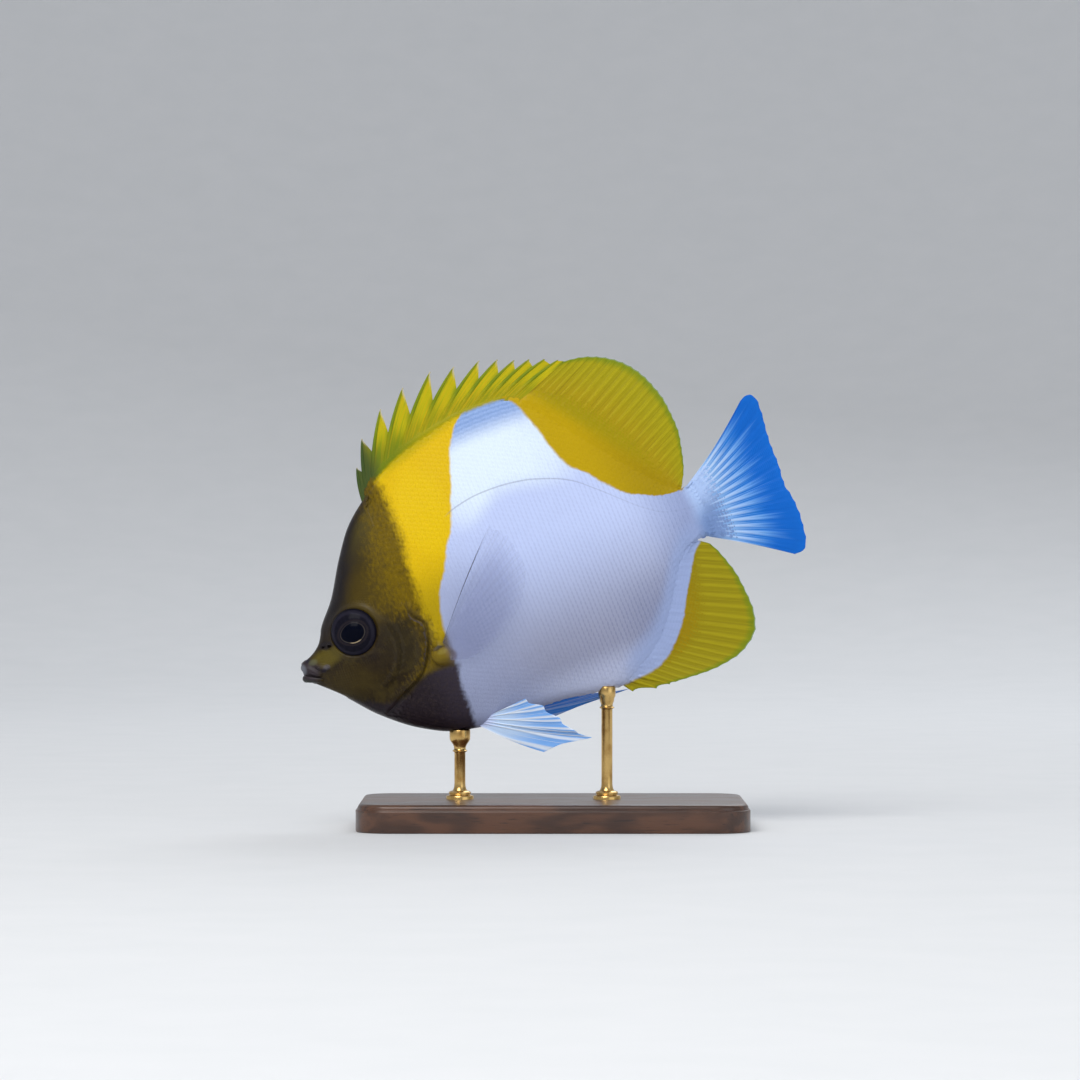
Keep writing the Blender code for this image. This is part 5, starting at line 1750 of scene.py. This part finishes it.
# The pectoral fins: clear fans of seventeen fine rays from the fleshy lobes, held out
# from the flanks, whose dark leading ray shows as a thin line across the white.
PECTORAL_ROOT = ((41.2, -7.1), (41.4, -12.7))
PECTORAL_OUT = 11.1
PECTORAL_SPREAD = (0.085, 0.0016)
PECTORAL_BOW = 0.7
PECTORAL_TIPS = (
    (66.0, 19.0), (70.2, 13.0), (71.3, 5.0), (67.5, -3.5), (60.5, -9.8), (53.5, -13.2),
    (47.5, -14.6),
)
PECTORAL_RAYS = 17

film = Finish("clear_web", {"Coat Weight": 0.15, "Coat Roughness": 0.15, "Roughness": 0.30})
phase, height, share = film.split(film.trait("ray"))
rib = forked_rib(film, phase, height, (0.35, 0.85), 0.17, (0.15, 0.03))
lead = film.step(share, 0.013, 0.003) * film.step(height, 1.0, 0.6)
foot = film.step(height, 0.14, 0.0)
shade = film.coats(
    paint(132, 140, 186), (110, 114, 150, rib * 0.6), (58, 58, 82, lead), (120, 110, 104, foot)
)
web = film.step(share, 0.03, 0.16) * film.step(height, 0.98, 0.72)
clear = film.maths("MAXIMUM", 0.04 + web * 0.11 + rib * 0.03, lead * 0.75)
clear = film.maths("MAXIMUM", clear, foot * 0.5)
film_material = film.use(base_color=shade, alpha=clear)


def straight(ends, share):
    """Places along the line between two ends."""
    return ends[0] + (ends[1] - ends[0]) * share[:, None]


def held_out(side, places, share):
    """Moves places in side view out from the flank, more towards the tips."""
    (x0, _), (x1, _) = PECTORAL_ROOT
    distance = places[:, 0] - (x0 + (x1 - x0) * share)
    near, far = PECTORAL_SPREAD
    places[:, 1] = side * (PECTORAL_OUT + near * distance + far * distance ** 2)
    return places


pectoral_ends = np.array([(x, 0.0, z) for x, z in PECTORAL_ROOT])
pectoral_margin = fair_line(PECTORAL_TIPS)
for word, side in SIDES:
    fan = Sheets()
    rayed(
        fan, PECTORAL_RAYS, lambda share: held_out(side, straight(pectoral_ends, share), share),
        lambda share: held_out(side, pectoral_margin(share), share),
        rows=34, per_ray=8, web=0.10, rib=0.13, scallop=0.5,
        bow=lambda share: upward(PECTORAL_BOW * (1.0 - share)),
    )
    fan.piece("pectoral_fin_" + word, film_material, ("pectoral_fin_" + word,))


# The pelvic fins: a stout leading spine and five forked rays each, white ribs in a
# pale web whose blue is painted light and shade, bluest on the right, far fin, the
# left one spread to the side and the right one laid back.
PELVIC_ROOT = ((41.6, 1.8), (46.0, 4.2))
PELVIC_TIPS = {
    "left": (
        (56.3, 13.0, -46.9), (70.6, 23.0, -47.8), (67.0, 21.5, -44.4), (64.2, 19.5, -39.4),
        (61.0, 17.0, -34.4), (57.0, 14.0, -30.8),
    ),
    "right": (
        (62.0, 5.2, -39.3), (85.6, 7.6, -40.1), (79.5, 8.4, -38.6), (73.5, 9.0, -36.2),
        (67.5, 9.4, -33.6), (61.5, 9.6, -31.2),
    ),
}
PELVIC_BOW = 0.9
PELVIC_SINK = 0.8
PELVIC_NOTCH = 1.3

silk = Finish("pelvic_fins", {**satin, "Specular IOR Level": 0.2})
here = silk.here()
fine = silk.noise(here, FINE_GRAIN, 3.0)
phase, height, share, streaks = ray_place(silk, (10.0, 1.6, 40.0), 4.0)
rib = forked_rib(silk, phase, height, (0.25, 0.8), 0.17, (0.14, 0.04))
# Painted light and shade: both webs carry the water's blue seen through them, and the far fin, on
# the right, a deeper blue with dimmer ribs.
far = silk.step(silk.split(here)[1], 0.0, 0.004)
web = silk.coats(
    paint(196, 222, 255),
    (130, 184, 252, silk.step(height, 0.25, 0.8)),
    (66, 142, 226, silk.step(streaks, 0.52, 0.78) * silk.step(height, 0.4, 0.9) * 0.7),
    (48, 132, 226, far * silk.step(height, 0.20, 0.6) * 0.95),
)
shade = silk.coats(
    web, (236, 244, 255, rib * (0.85 - far * 0.5)), (196, 204, 238, silk.step(height, 0.2, 0.0))
)
normal = silk.bump(streaks * 0.7 + fine * 0.3, 0.00006, 0.5)
silk_material = silk.use(base_color=shade, roughness=0.40 + fine * 0.12, normal=normal)


def under_belly(x, y):
    """The underside of the body at a place seen from below."""
    low, high = float(belly(x)), float(widest(x))
    for _ in range(30):
        middle = (low + high) / 2.0
        if float(flank(x, middle)) > abs(y):
            high = middle
        else:
            low = middle
    return high


def pelvic_margin(roots, ends, share):
    """The margin of a pelvic fin, notched between the tips of its rays."""
    place = share * (len(ends) - 1)
    i = np.clip(place.astype(int), 0, len(ends) - 2)
    t = (place - i)[:, None]
    margin = ends[i] * (1.0 - t) + ends[i + 1] * t
    inward = straight(roots, share) - margin
    inward /= np.linalg.norm(inward, axis=1)[:, None]
    return margin + inward * (PELVIC_NOTCH * np.sin(math.pi * t) ** 2)


for word, side in SIDES:
    ends = np.array([(x, side * y, z) for x, y, z in PELVIC_TIPS[word]])
    roots = np.array([(x, side * y, under_belly(x, y) + PELVIC_SINK) for x, y in PELVIC_ROOT])
    out = np.cross(ends[0] - roots[0], ends[-1] - roots[1])
    out /= np.linalg.norm(out)
    fan = Sheets()
    rayed(
        fan, len(ends), lambda share: straight(roots, share),
        lambda share: pelvic_margin(roots, ends, share),
        rows=44, per_ray=22, web=0.13, rib=0.20, face=out,
        bow=lambda share: upward(-PELVIC_BOW * (1.0 - share)), scallop=0.25, forks=(0.25, 0.55),
    )
    fan.piece("pelvic_fin_" + word, silk_material, ("pelvic_fin_" + word,))
